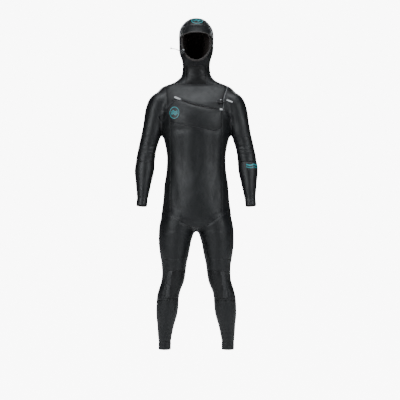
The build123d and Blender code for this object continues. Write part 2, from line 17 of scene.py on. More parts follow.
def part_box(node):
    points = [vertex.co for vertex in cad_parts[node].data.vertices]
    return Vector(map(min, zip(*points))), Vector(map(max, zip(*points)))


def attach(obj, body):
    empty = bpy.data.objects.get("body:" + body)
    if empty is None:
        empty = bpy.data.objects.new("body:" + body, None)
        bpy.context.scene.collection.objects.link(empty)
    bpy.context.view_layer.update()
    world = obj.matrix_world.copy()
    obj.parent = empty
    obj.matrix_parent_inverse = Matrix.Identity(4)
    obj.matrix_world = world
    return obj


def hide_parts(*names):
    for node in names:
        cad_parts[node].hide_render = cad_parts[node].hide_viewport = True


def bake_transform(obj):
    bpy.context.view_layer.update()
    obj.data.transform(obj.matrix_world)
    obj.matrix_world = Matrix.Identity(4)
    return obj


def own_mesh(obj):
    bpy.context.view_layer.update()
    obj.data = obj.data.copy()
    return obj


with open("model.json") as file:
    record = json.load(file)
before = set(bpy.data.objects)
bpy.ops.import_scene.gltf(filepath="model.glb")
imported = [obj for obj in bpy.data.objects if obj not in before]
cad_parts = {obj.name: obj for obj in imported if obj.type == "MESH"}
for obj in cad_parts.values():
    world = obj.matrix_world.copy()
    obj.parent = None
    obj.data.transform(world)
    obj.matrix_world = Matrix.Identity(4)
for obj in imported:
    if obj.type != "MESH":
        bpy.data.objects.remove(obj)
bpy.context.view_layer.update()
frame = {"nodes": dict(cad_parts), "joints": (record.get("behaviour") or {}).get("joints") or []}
CROTCH = 0.742
JOINTS = {joint["name"]: joint for joint in frame["joints"]}


# %% [markdown]
# Heights are easiest to think about from the soles of the feet, as a tailor measures,
# so one helper turns them into the frame's own height. Two more give soft steps and humps,
# which is all the sculpting needs.

# %% Small helpers
def up(height):
    return height - CROTCH


def ramp(value, start, end):
    t = np.clip((value - start) / (end - start), 0.0, 1.0)
    return t * t * (3 - 2 * t)


def hump(value, middle, width):
    return np.exp(-((value - middle) / width) ** 2)


def collect(obj):
    if obj.name not in bpy.context.scene.collection.objects:
        bpy.context.scene.collection.objects.link(obj)
    return obj


def plain_mesh(obj, name):
    """The object with its modifiers worked in, as a new mesh."""
    bpy.context.view_layer.update()
    graph = bpy.context.evaluated_depsgraph_get()
    mesh = bpy.data.meshes.new_from_object(obj.evaluated_get(graph))
    mesh.name = name
    return mesh


def remove(obj):
    bpy.data.objects.remove(obj, do_unlink=True)


def smooth(mesh):
    mesh.polygons.foreach_set("use_smooth", [True] * len(mesh.polygons))


def point_outwards(mesh):
    """Turns the faces of a closed mesh to point outwards."""
    check = bmesh.new()
    check.from_mesh(mesh)
    bmesh.ops.recalc_face_normals(check, faces=check.faces)
    check.to_mesh(mesh)
    check.free()


def new_mesh(name, points, faces, closed=False):
    mesh = bpy.data.meshes.new(name)
    mesh.from_pydata([tuple(point) for point in points], [], faces)
    mesh.update()
    if closed:
        point_outwards(mesh)
    smooth(mesh)
    return mesh


def grid_faces(rows, cols, loop_rows=False, loop_cols=False, first=0):
    """Faces between rows of points, cols to a row. Either way can close on itself."""
    faces = []
    for i in range(rows if loop_rows else rows - 1):
        here, there = first + i * cols, first + (i + 1) % rows * cols
        for j in range(cols if loop_cols else cols - 1):
            k = (j + 1) % cols
            faces.append((here + j, here + k, there + k, there + j))
    return faces


def thicken(obj, thickness, offset=-1):
    sheet = obj.modifiers.new("thick", "SOLIDIFY")
    sheet.thickness, sheet.offset = thickness, offset
    return sheet


def add_node(tree, kind, inputs=(), **settings):
    """A new node: inputs are (socket, value or linked socket), settings its own choices."""
    made = tree.nodes.new(kind)
    for key, value in settings.items():
        setattr(made, key, value)
    for socket, value in inputs:
        if isinstance(value, bpy.types.NodeSocket):
            tree.links.new(value, made.inputs[socket])
        else:
            made.inputs[socket].default_value = value
    return made


# %% [markdown]
# The suit follows the body, so its skin is drawn as the body's own cross sections:
# an oval at each height of the torso, hood, arms and legs. A smooth curve through the
# sections gives a tube for each part. The tubes could be joined with booleans, but a voxel
# remesh joins them into one even skin that can then be smoothed like a real stretched suit.

# %% Body sections, in millimetres
TORSO = [
    (736, 62, 42, 6), (748, 96, 62, 6), (770, 140, 96, 8), (800, 178, 115, 10), (840, 178, 122, 12),
    (900, 169, 122, 10), (960, 165, 115, 6), (1040, 154, 106, 3), (1100, 150, 104, 0),
    (1180, 159, 114, 0), (1230, 171, 121, -1), (1290, 177, 122, -3), (1345, 188, 117, -1),
    (1400, 200, 100, 5), (1448, 199, 76, 11), (1472, 180, 64, 15), (1490, 140, 66, 15),
    (1504, 106, 70, 14), (1520, 86, 74, 13)]
HOOD = [
    (1500, 76, 64, 14), (1518, 78, 66, 13), (1545, 73, 67, 10), (1576, 70, 71, 4), (1607, 73, 92, -8),
    (1640, 84, 98, -8), (1680, 88, 101, -7), (1715, 89, 102, -7), (1745, 88, 99, -6), (1775, 79, 90, -6),
    (1800, 59, 68, -5), (1815, 40, 45, -4), (1823, 17, 19, -3)]
ARM = [
    (108, 6, 1404, 88, 0.0, 52, 56), (150, 5, 1405, 66, 0.0, 58, 60), (184, 4, 1388, 40, 0.0, 59, 62),
    (207, 4, 1345, 20, 0.0, 55, 61), (225, 4, 1254, 12, 0.0, 50, 55), (251, 5, 1153, 10, 0.05, 47, 50),
    (261, 1, 1086, 6, 0.10, 48, 49), (267, -8, 1020, 5, 0.18, 45, 46), (271, -25, 950, 4, 0.22, 35, 39),
    (273.6, -35, 907, 4, 0.22, 28.5, 28.5)]
LEG = [
    (872, 82, 8, 62, 84), (840, 88, 8, 76, 100), (800, 94, 6, 88, 110), (745, 99.5, 4, 92, 108),
    (694, 108, 2, 85, 97), (632, 112, 0, 76, 86), (571, 113, -1, 65, 75), (520, 115.5, -2, 60, 66),
    (479, 122, 2, 58.6, 62), (428, 140, 8, 56.5, 60), (377, 147.5, 16, 57.5, 62), (321, 151, 20, 56, 58),
    (270, 156, 25, 47.5, 50), (219, 160.5, 30, 39, 41), (170, 163, 33, 33, 33)]
CUFF_LONG = {"wrist": 0.040, "ankle": 0.043}


def smooth_rows(rows, key, count):
    """Rows of numbers, joined by a natural cubic along the distances in key."""
    rows = np.array(rows, float)
    gaps = np.linalg.norm(np.diff(rows[:, key], axis=0), axis=1)
    t = np.concatenate([[0], np.cumsum(np.maximum(1e-6, gaps))])
    n = len(t)
    h = np.diff(t)
    lhs = np.zeros((n, n))
    rhs = np.zeros((n, rows.shape[1]))
    lhs[0, 0] = lhs[-1, -1] = 1
    for i in range(1, n - 1):
        lhs[i, i - 1:i + 2] = h[i - 1], 2 * (h[i - 1] + h[i]), h[i]
        rhs[i] = 6 * ((rows[i + 1] - rows[i]) / h[i] - (rows[i] - rows[i - 1]) / h[i - 1])
    curve = np.linalg.solve(lhs, rhs)
    at = np.linspace(0, t[-1], count)
    i = np.clip(np.searchsorted(t, at) - 1, 0, n - 2)
    a = ((t[i + 1] - at) / h[i])[:, None]
    b = ((at - t[i]) / h[i])[:, None]
    hh = h[i][:, None] ** 2 / 6
    return a * rows[i] + b * rows[i + 1] + ((a ** 3 - a) * curve[i] + (b ** 3 - b) * curve[i + 1]) * hh


def tube(rings):
    """A closed tube through rings of points."""
    rings = np.array(rings)
    count, around, _ = rings.shape
    points = rings.reshape(-1, 3)
    faces = grid_faces(count, around, loop_cols=True)
    faces.append(tuple(range(around - 1, -1, -1)))
    faces.append(tuple((count - 1) * around + j for j in range(around)))
    return points, faces


RING = 72                  # points round each section
AROUND = np.linspace(0, 2 * math.pi, RING, endpoint=False)


def level_rings(rows):
    return [np.stack([x + wide * np.cos(AROUND), y + deep * np.sin(AROUND), np.full(RING, height)], axis=1)
            for height, x, y, wide, deep in rows]


def arm_direction(lean, forward):
    angle = math.radians(lean)
    along = np.array([math.sin(angle), -forward, -math.cos(angle)])
    return along / np.linalg.norm(along), np.array([math.cos(angle), 0, math.sin(angle)])


def arm_rings(rows):
    rings = []
    for x, y, height, lean, forward, wide, deep in rows:
        along, out = arm_direction(lean, forward)
        side = np.cross(along, out)
        rings.append(np.array([x, y, height]) + np.outer(np.cos(AROUND) * wide, out)
                     + np.outer(np.sin(AROUND) * deep, side))
    return rings


torso_rows = smooth_rows([(h, 0, y, w, d) for h, w, d, y in TORSO], [0, 3], 130)
hood_rows = smooth_rows([(h, 0, y, w, d) for h, w, d, y in HOOD], [0, 3], 70)
leg_rows = list(smooth_rows(LEG, [0, 1, 2], 110))
arm_rows = list(smooth_rows(ARM, [0, 1, 2], 90))
wrist_along = arm_direction(ARM[-1][3], ARM[-1][4])[0]
wrist_from = np.array(ARM[-1][:3]) / 1000 - [0, 0, CROTCH]
for extra in (10, 20, 30, 40, 50):
    x, y, height = np.array(ARM[-1][:3]) + wrist_along * extra
    arm_rows.append((x, y, height, *ARM[-1][3:]))
    leg_rows.append((LEG[-1][0] - extra, *LEG[-1][1:]))
skin_parts = [level_rings(torso_rows), level_rings(hood_rows)]
for rings in (arm_rings(arm_rows), level_rings(leg_rows)):
    skin_parts += [rings, [ring * [-1, 1, 1] for ring in rings]]
whole = bmesh.new()
for rings in skin_parts:
    points, faces = tube(rings)
    made = [whole.verts.new((p / 1000 - [0, 0, CROTCH]).tolist()) for p in points]
    part_faces = [whole.faces.new([made[i] for i in face]) for face in faces]
    bmesh.ops.recalc_face_normals(whole, faces=part_faces)
body_mesh = bpy.data.meshes.new("body_form")
whole.to_mesh(body_mesh)
whole.free()
body_form = collect(bpy.data.objects.new("body_form", body_mesh))
print("body sections joined:", len(body_mesh.vertices), "points")


# %% [markdown]
# The remesh leaves hard creases where the tubes meet. A stretched suit has none, so the
# skin is relaxed there: at the shoulders, the crotch and the base of the neck, and hardly
# anywhere else.

# %% One even skin
VOXEL = 0.0066
remesh = body_form.modifiers.new("remesh", "REMESH")
remesh.mode = "VOXEL"
remesh.voxel_size = VOXEL
skin_mesh = plain_mesh(body_form, "skin")
remove(body_form)
skin = collect(bpy.data.objects.new("skin", skin_mesh))


def points_of(mesh, what="co"):
    flat = np.empty(len(mesh.vertices) * 3)
    mesh.vertices.foreach_get(what, flat)
    return flat.reshape(-1, 3)


co = points_of(skin_mesh)
X, Y, Z = co[:, 0], co[:, 1], co[:, 2] + CROTCH
side = np.abs(X)
relax = np.full(len(co), 0.04)
relax = np.maximum(relax, hump(side, 0.165, 0.045) * ramp(Z, 1.22, 1.28) * (1 - ramp(Z, 1.45, 1.50)))
relax = np.maximum(relax, hump(Z, 0.80, 0.055))
relax = np.maximum(relax, hump(Z, 1.515, 0.022) * (side < 0.13))
group = skin.vertex_groups.new(name="relax")
for level in range(1, 11):
    chosen = np.nonzero(np.round(relax * 10) == level)[0]
    if len(chosen):
        group.add(chosen.tolist(), level / 10, "REPLACE")
relaxing = skin.modifiers.new("relax", "SMOOTH")
relaxing.factor = 0.5
relaxing.iterations = 28
relaxing.vertex_group = "relax"
settled = plain_mesh(skin, "skin_relaxed")
remove(skin)
print("skin:", len(settled.vertices), "points")

# %% [markdown]
# Under the foam there is a body: chest, shoulders, belly, thighs, calves and seat push it
# out, and it creases where it bends, at the elbows, armpits, groin and behind the knees,
# and bunches on the neck. Every hump and crease is a small push along the skin's normal.

# %% Sculpt the skin
co = points_of(settled)
no = points_of(settled, "normal")
X, Y, Z = co[:, 0], co[:, 1], co[:, 2] + CROTCH
side = np.abs(X)
front = ramp(-no[:, 1], -0.1, 0.7)
back = ramp(no[:, 1], -0.1, 0.7)
torso_part = (side < 0.19) & (Z > 0.76) & (Z < 1.5)
arm_part = (side > 0.185) & (Z > 0.84)
leg_part = (Z < 0.74)
push = np.zeros(len(co))


# (middle x, height, half width, half height, rise, facing, part of the suit); both sides at once
everywhere = np.ones(len(co))
SWELLS = [
    (0.082, 1.320, 0.060, 0.052, 0.0048, front, torso_part),
    (0.075, 1.252, 0.070, 0.014, -0.0030, front, torso_part),
    (0.0, 1.32, 0.016, 0.06, -0.0012, front, torso_part),
    (0.036, 1.17, 0.026, 0.080, 0.0024, front, torso_part),
    (0.0, 1.12, 0.010, 0.11, -0.0012, front, torso_part),
    (0.080, 1.13, 0.014, 0.110, -0.0028, front, torso_part),
    (0.112, 1.16, 0.030, 0.085, 0.0030, front, torso_part),
    (0.0, 1.00, 0.090, 0.060, 0.0030, front, torso_part),
    (0.105, 0.93, 0.020, 0.050, -0.0030, front, torso_part),
    (0.075, 0.855, 0.062, 0.062, 0.0100, back, everywhere),
    (0.0, 0.84, 0.013, 0.055, -0.0075, back, everywhere),
    (0.0, 1.18, 0.015, 0.20, -0.0060, back, torso_part),
    (0.045, 1.05, 0.025, 0.12, 0.0028, back, torso_part),
    (0.090, 1.36, 0.045, 0.060, 0.0050, back, torso_part),
    (0.205, 1.385, 0.030, 0.05, 0.0035, everywhere, everywhere),
    (0.105, 0.66, 0.050, 0.085, 0.0050, front, leg_part),
    (0.085, 0.585, 0.025, 0.035, 0.0030, front, everywhere),
    (0.117, 0.502, 0.026, 0.026, 0.0045, front, everywhere),
    (0.117, 0.462, 0.030, 0.014, -0.0022, front, everywhere),
    (0.152, 0.345, 0.035, 0.055, 0.0060, back, everywhere),
    (0.118, 0.495, 0.030, 0.025, -0.0045, back, everywhere),
]
for x, z, wide, tall, rise, face, where in SWELLS:
    push += hump(side, x, wide) * hump(Z, z, tall) * rise * face * where
push += hump(Z, 1.25, 0.055) * 0.0030 * front * arm_part
push += hump(Z, 1.28, 0.060) * 0.0035 * back * arm_part
push += hump(Z, 1.05, 0.040) * 0.0025 * arm_part


def crease(points, depth, width, where):
    """A soft valley with a low roll on each side, along a line of (x, y, height) points."""
    line = np.array(points) - [0, 0, CROTCH]
    nearest = np.full(len(co), 9.0)
    along = np.zeros(len(co))
    for i in range(len(line) - 1):
        a, b = line[i], line[i + 1]
        t = np.clip(((co - a) @ (b - a)) / ((b - a) @ (b - a)), 0, 1)
        gap = np.linalg.norm(co - (a + t[:, None] * (b - a)), axis=1)
        closer = gap < nearest
        nearest[closer] = gap[closer]
        along[closer] = (i + t[closer]) / (len(line) - 1)
    fade = np.sin(np.clip(along, 0.02, 0.98) * math.pi) ** 0.6
    valley = -np.exp(-(nearest / width) ** 2) + 0.55 * np.exp(-((nearest - 1.9 * width) / width) ** 2)
    return depth * valley * fade * where


# (line on the left side, depth, width); the right side gets the same, mirrored
CREASES = [
    *(([(0.205, -0.03, height + 0.004), (0.245, -0.052, height), (0.290, -0.03, height + 0.008)], depth, 0.0055)
      for height, depth in ((1.166, 0.0030), (1.148, 0.0036), (1.131, 0.0026))),
    ([(0.150, -0.09, 1.352), (0.178, -0.055, 1.318), (0.182, 0.0, 1.285)], 0.0045, 0.008),
    ([(0.135, -0.098, 1.385), (0.165, -0.065, 1.345)], 0.0030, 0.008),
    ([(0.150, 0.088, 1.360), (0.180, 0.055, 1.318)], 0.0040, 0.009),
    ([(0.020, -0.098, 0.762), (0.085, -0.112, 0.800), (0.160, -0.075, 0.850)], 0.0040, 0.009),
    ([(0.020, 0.095, 0.756), (0.085, 0.118, 0.762), (0.160, 0.080, 0.790)], 0.0050, 0.010),
    *(([(0.075, 0.030, height + 0.006), (0.120, 0.064, height), (0.165, 0.030, height + 0.006)], depth, 0.0065)
      for height, depth in ((0.520, 0.003), (0.497, 0.004), (0.474, 0.003))),
    *(([(0.125, 0.020, height), (0.140, -0.008, height - 0.006), (0.175, -0.010, height + 0.002)],
       0.0018, 0.0060) for height in (0.245, 0.222, 0.203)),
]
for s in (-1, 1):
    own = (X * s > 0).astype(float)
    for line, depth, width in CREASES:
        push += crease(np.array(line) * [s, 1, 1], depth, width, own)
for height, depth in ((1.553, 0.0024), (1.536, 0.0030), (1.520, 0.0026)):
    push += crease([(0.020, -0.060, height - 0.004), (0.055, -0.040, height), (0.076, 0.0, height + 0.006),
                    (0.060, 0.045, height + 0.004)], depth, 0.0050, everywhere)
    push += crease([(-0.075, 0.010, height + 0.002), (-0.050, 0.052, height), (0.0, 0.078, height - 0.003),
                    (0.050, 0.052, height)], depth * 0.9, 0.0050, everywhere)
for x, height in ((0.118, 1.474), (0.140, 1.462), (0.100, 1.486)):
    push += crease([(x - 0.012, -0.045, height - 0.030), (x, -0.015, height),
                    (x + 0.004, 0.02, height + 0.004)],
                   0.0030, 0.0055, everywhere)
push += 0.0006 * np.sin(X * 61 + 2.0 * np.sin(Z * 23)) * np.sin(Z * 47 + 1.7 * np.sin(Y * 39))
near_zip = (1 - ramp(np.abs(Z - (1.374 - 0.17 * X)), 0.015, 0.075)) * (Y < 0) * (1 - ramp(side, 0.13, 0.16))
push *= 1 - 0.9 * near_zip
settled.vertices.foreach_set("co", (co + no * push[:, None]).ravel())
settled.update()
print("sculpted, largest push %.1f mm" % (np.abs(push).max() * 1000))

# %% [markdown]
# The zip lies on a circle just under the skin. Its hinge in the frame gives the circle's
# centre and axis, and the tapes' own mesh gives its radius and tilt, so a point's distance
# across the zip and along it can be measured anywhere.

# %% Where the zip runs
zip_hinge = JOINTS["zip_run"]
zip_centre = np.array(zip_hinge["pos_m"])
zip_axis = np.array(zip_hinge["axis"]) / np.linalg.norm(zip_hinge["axis"])
slider_low, slider_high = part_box("zip_slider")
to_slider = (np.array(slider_low) + np.array(slider_high)) / 2 - zip_centre
to_slider -= zip_axis * (to_slider @ zip_axis)
zip_zero = to_slider / np.linalg.norm(to_slider)
zip_turn = np.cross(zip_axis, zip_zero)


def zip_place(points):
    """Lift along the zip's axis, distance from it, and angle past the closed slider."""
    arm = points - zip_centre
    lift = arm @ zip_axis
    flat = arm - np.outer(lift, zip_axis)
    return lift, np.linalg.norm(flat, axis=1), np.arctan2(flat @ zip_turn, flat @ zip_zero)


tape_points = points_of(frame["nodes"]["zip_tapes"].data)
tape_lift, tape_reach, tape_angle = zip_place(tape_points)
zip_lift, zip_radius = tape_lift.mean(), tape_reach.mean()
spread = np.cov(np.stack([tape_lift, tape_reach]))
zip_tilt = np.linalg.eigh(spread)[1][:, -1]
zip_tilt = zip_tilt * np.sign(zip_tilt[0])
zip_angles = (tape_angle.min(), tape_angle.max())


def zip_across(points):
    lift, reach, angle = zip_place(points)
    return (lift - zip_lift) * zip_tilt[0] + (reach - zip_radius) * zip_tilt[1], angle


def zip_point(across, out, angle):
    """A point on the zip: across it, out from the tape, at an angle along it."""
    lift = zip_lift + across * zip_tilt[0] - out * zip_tilt[1]
    reach = zip_radius + across * zip_tilt[1] + out * zip_tilt[0]
    spoke = zip_zero * math.cos(angle) + zip_turn * math.sin(angle)
    return zip_centre + zip_axis * lift + spoke * reach


print("zip radius %.1f mm, from %.1f to %.1f degrees" % (
    zip_radius * 1000, math.degrees(zip_angles[0]), math.degrees(zip_angles[1])))

# %% [markdown]
# The skin is drawn to the zip: beside the tapes it is pulled or pushed until it lies just
# above them, as rubber sewn to a zip does, and it lets go smoothly three centimetres away.

# %% Seat the skin on the zip
co = points_of(settled)
lift, reach, angle = zip_place(co)
across = (lift - zip_lift) * zip_tilt[0] + (reach - zip_radius) * zip_tilt[1]
out = -(lift - zip_lift) * zip_tilt[1] + (reach - zip_radius) * zip_tilt[0]
spoke = (co - zip_centre) - np.outer(lift, zip_axis)
spoke /= np.linalg.norm(spoke, axis=1)[:, None]
outwards = -zip_axis * zip_tilt[1] + spoke * zip_tilt[0]
hold = (1 - ramp(np.abs(across), 0.012, 0.034)) * (1 - ramp(zip_angles[0] - angle, 0.0, 0.08)) * (
    1 - ramp(angle - zip_angles[1], 0.0, 0.06)) * (co[:, 1] < -0.02) * (np.abs(out) < 0.03)
co = co + outwards * ((0.0016 - out) * hold)[:, None]
settled.vertices.foreach_set("co", co.ravel())
settled.update()
skin_tree = BVHTree.FromPolygons([v.co for v in settled.vertices], [p.vertices[:] for p in settled.polygons])
print("skin moved up to %.1f mm to meet the zip" % (np.abs((0.0016 - out) * hold).max() * 1000))

# %% [markdown]
# The real suit is cut from flat sheets of foam rubber, glued and stitched edge to edge.
# Here the whole skin is cut along its seam lines instead: each seam is a simple formula
# that is zero on the line, and every face it crosses is split there.

# %% Seam lines
ZIP_LINE = [(-0.148, 1.360), (-0.100, 1.412), (0.005, 1.374), (0.122, 1.355), (0.131, 1.355)]
CHEST_SEAM = [(-0.131, 1.290), (-0.046, 1.273), (0.022, 1.260), (0.091, 1.246), (0.131, 1.262)]
LEFT_EDGE = [(1.30, 0.131), (1.355, 0.131), (1.367, 0.133), (1.408, 0.136), (1.433, 0.141), (1.470, 0.156),
             (1.60, 0.160)]
RIGHT_EDGE = [(1.30, 0.146), (1.40, 0.147), (1.44, 0.150), (1.47, 0.156), (1.60, 0.160)]
BACK_EDGE = [(1.30, 0.150), (1.38, 0.146), (1.44, 0.142), (1.48, 0.140), (1.60, 0.140)]
ARMHOLE = [(0.80, 0.225), (0.90, 0.205), (1.10, 0.182), (1.25, 0.1765), (1.30, 0.172), (1.345, 0.165),
           (1.60, 0.165)]
SIDE, PIT, RIDGE, COLLAR, NECK_TOP, BROW = 0.131, 1.345, 0.011, 1.484, 1.576, 1.738
NECK_HALF, CROWN_HALF, COLLAR_HALF = 0.052, 0.042, 0.092
ELBOW_TOP, ELBOW_LOW, KNEE_TOP, KNEE_LOW = 1.222, 1.094, 0.600, 0.388
PAD_TOP, PAD_LOW, ANKLE_TOP, ANKLE_LOW, WAIST = 0.541, 0.396, 0.170, 0.127, 1.180
ZIP_GAP = 0.0062
# the face opening: half its width, where it is widest, its lowest and highest points, its corners
FACE_HALF, FACE_WIDEST, FACE_DROP, FACE_TOP, FACE_CORNER = 0.071, 1.690, 0.089, 1.738, 0.028


def along(line, value):
    table = np.array(line)
    return np.interp(value, table[:, 0], table[:, 1])


def face_field(x, z):
    """Below zero inside the face opening."""
    side = np.abs(x)
    jaw = np.sqrt((x / FACE_HALF) ** 2 + (np.minimum(z - FACE_WIDEST, 0) / FACE_DROP) ** 2) - 1
    corner = np.hypot(np.maximum(side - FACE_HALF + FACE_CORNER, 0),
                      np.maximum(z - FACE_TOP + FACE_CORNER, 0)) - FACE_CORNER
    return np.where(z < FACE_WIDEST, jaw * 0.08, np.maximum(corner, np.maximum(side - FACE_HALF, z - FACE_TOP)))


def thigh_line(x, y):
    reach = np.maximum(np.abs(x) - 0.012, 0)
    return np.where(y < 0.01, 0.750 + 0.60 * reach, 0.748 + 0.16 * reach)


def pad_edge(z):
    return np.interp(z, [0.38, 0.46, 0.541], [0.163, 0.155, 0.146])


def wrist_gap(p):
    local = np.stack([np.abs(p[:, 0]), p[:, 1], p[:, 2]], axis=1) - wrist_from
    return local @ wrist_along


body = bmesh.new()
body.from_mesh(settled)


SNAP = 0.22                # a point this close to the seam, as a share of its edge, moves onto it


def cut_skin(field, where):
    """Splits the skin where field is zero, inside the part of it that where allows."""
    body.verts.index_update()
    here = spots(np.array([v.co[:] for v in body.verts]))
    value, allowed = field(here), where(here)
    body.verts.ensure_lookup_table()
    ends = np.array([(e.verts[0].index, e.verts[1].index) for e in body.edges])
    crossing = np.nonzero((value[ends[:, 0]] * value[ends[:, 1]] < 0) & allowed[ends[:, 0]]
                          & allowed[ends[:, 1]])[0]
    body.edges.ensure_lookup_table()
    edges = [body.edges[i] for i in crossing]
    moved = {}
    for edge in edges:
        a, b = edge.verts
        t = value[a.index] / (value[a.index] - value[b.index])
        for vert, other, share in ((a, b, t), (b, a, 1 - t)):
            if share < SNAP and (vert not in moved or share < moved[vert][0]):
                moved[vert] = (share, vert.co.lerp(other.co, share))
    on_seam = set(moved)
    for edge in edges:
        a, b = edge.verts
        if a not in moved and b not in moved:
            t = value[a.index] / (value[a.index] - value[b.index])
            on_seam.add(bmesh.utils.edge_split(edge, a, t)[1])
    for vert, (_, place) in moved.items():
        vert.co = place
    touched = {face for vert in on_seam for face in vert.link_faces}
    for face in touched:
        hits = [v for v in face.verts if v in on_seam]
        if len(hits) == 2 and body.edges.get(hits) is None:
            bmesh.utils.face_split(face, hits[0], hits[1])


def near_zip_end(s):
    return (np.abs(s.across) < 0.010) & (s.y < 0) & (np.abs(s.z - 1.38) < 0.06)


def front_edge(s):
    return (s.y < RIDGE + 0.006) & (s.z > PIT - 0.006) & (s.z < 1.50)


def beside_pad(s):
    return (s.z < PAD_TOP + OVER) & (s.z > PAD_LOW - OVER)


def pad_back(z):
    return 0.004 + 0.08 * (PAD_TOP - z)


def spots(points):
    """Everything the seam formulas ask of some points, worked out once."""
    x, y, z = points[:, 0], points[:, 1], points[:, 2] + CROTCH
    across, angle = zip_across(points)
    side = np.abs(x)
    on_arm = (side > along(ARMHOLE, z)) & (z > 0.84)
    return SimpleNamespace(
        x=x, y=y, z=z, side=side, across=across, angle=angle, arm=on_arm, wrist=wrist_gap(points),
        zip=(angle > zip_angles[0]) & (angle < zip_angles[1]) & (y < 0) & (np.abs(across) < 0.05),
        torso=~on_arm & (z > thigh_line(x, y)) & (z < 1.53))


OVER = 0.004               # a seam runs this far past its corners, so that cuts always meet
ZIP_NEAR, ZIP_FAR = 0.012, 0.020   # angles by which the slot stops short of the tapes' ends
# (formula that is zero on the seam, where the seam runs)
cuts = [
    (lambda s: face_field(s.x, s.z), lambda s: (s.y < -0.02) & (s.z > 1.585)),
    (lambda s: s.across - ZIP_GAP, lambda s: s.zip),
    (lambda s: s.across + ZIP_GAP, lambda s: s.zip),
    (lambda s: s.angle - zip_angles[0] - ZIP_NEAR, near_zip_end),
    (lambda s: s.angle - zip_angles[1] + ZIP_FAR, near_zip_end),
    (lambda s: s.z - along(ZIP_LINE, s.x), lambda s: (s.x > -0.156) & (s.x < 0.136) & (s.y < RIDGE)
     & (np.abs(s.z - 1.38) < 0.06)
     & ((s.angle < zip_angles[0] + ZIP_NEAR) | (s.angle > zip_angles[1] - ZIP_FAR))),
    (lambda s: s.z - along(CHEST_SEAM, s.x), lambda s: (s.side < 0.138) & (s.y < 0)
     & (s.z > 1.2) & (s.z < 1.32)),
    (lambda s: s.x - along(LEFT_EDGE, s.z), lambda s: (s.x > 0) & front_edge(s)),
    (lambda s: s.x + along(RIGHT_EDGE, s.z), lambda s: (s.x < 0) & front_edge(s)),
    (lambda s: s.side - along(BACK_EDGE, s.z), lambda s: (s.y > RIDGE - 0.006) & (s.z > PIT - 0.006)
     & (s.z < 1.52)),
    (lambda s: s.side - SIDE, lambda s: (s.z > 0.74) & (s.z < PIT + 0.006) & s.torso),
    (lambda s: s.z - PIT, lambda s: (s.side > SIDE - 0.006) & (s.side < 0.172)),
    (lambda s: s.side - along(ARMHOLE, s.z), lambda s: (s.z > 1.22) & (s.z < PIT + OVER)),
    (lambda s: s.y - RIDGE, lambda s: (s.z > 1.40) & (s.z < COLLAR + 0.05)
     & (s.side < 0.162) & (s.side > 0.06)),
    (lambda s: s.z - COLLAR, lambda s: s.side < 0.16),
    (lambda s: s.side - COLLAR_HALF, lambda s: (s.z > COLLAR - 0.005) & (s.z < 1.53)),
    (lambda s: s.side - NECK_HALF, lambda s: (s.z > COLLAR - OVER) & (s.z < NECK_TOP + OVER) & (s.y < 0)),
    (lambda s: s.z - NECK_TOP, lambda s: (s.z > 1.5) & (s.side < 0.12)),
    (lambda s: s.side - CROWN_HALF, lambda s: (s.z > NECK_TOP - OVER) & ((s.y > -OVER) | (s.z > BROW - OVER))),
    (lambda s: s.x - 1e-5, lambda s: (s.z > NECK_TOP - OVER) & (s.z < 1.615) & (s.y < 0)),
    (lambda s: s.z - WAIST, lambda s: (s.y > 0) & (s.side < SIDE + 0.006)),
    (lambda s: s.z - thigh_line(s.x, s.y), lambda s: (s.z > 0.735) & (s.z < 0.90) & ~s.arm),
    (lambda s: s.z - ELBOW_TOP, lambda s: s.arm),
    (lambda s: s.z - ELBOW_LOW, lambda s: s.arm),
    (lambda s: s.wrist, lambda s: s.arm & (s.z < 1.0)),
    (lambda s: s.wrist - CUFF_LONG["wrist"], lambda s: (s.side > 0.2) & (s.z < 1.0)),
    (lambda s: s.z - KNEE_TOP, lambda s: s.z < 0.7),
    (lambda s: s.z - KNEE_LOW, lambda s: s.z < 0.7),
    (lambda s: s.z - PAD_TOP, lambda s: (s.z < 0.6) & (s.y < 0.015)),
    (lambda s: s.z - PAD_LOW, lambda s: (s.z < 0.5) & (s.y < 0.030)),
    (lambda s: s.side - pad_edge(s.z), lambda s: beside_pad(s) & (s.y < 0.012)),
    (lambda s: s.y - pad_back(s.z), lambda s: beside_pad(s) & (s.side < 0.15)),
    (lambda s: s.z - ANKLE_TOP, lambda s: s.z < 0.3),
    (lambda s: s.z - ANKLE_LOW, lambda s: s.z < 0.3),
]
for field, where in cuts:
    cut_skin(field, where)
print("skin after", len(cuts), "seams:", len(body.faces), "faces")

# %% [markdown]
# Every face now lies wholly inside one panel, so its middle point tells which one. The
# face opening, the slot of the zip and the ends past the cuffs belong to none and are left out.

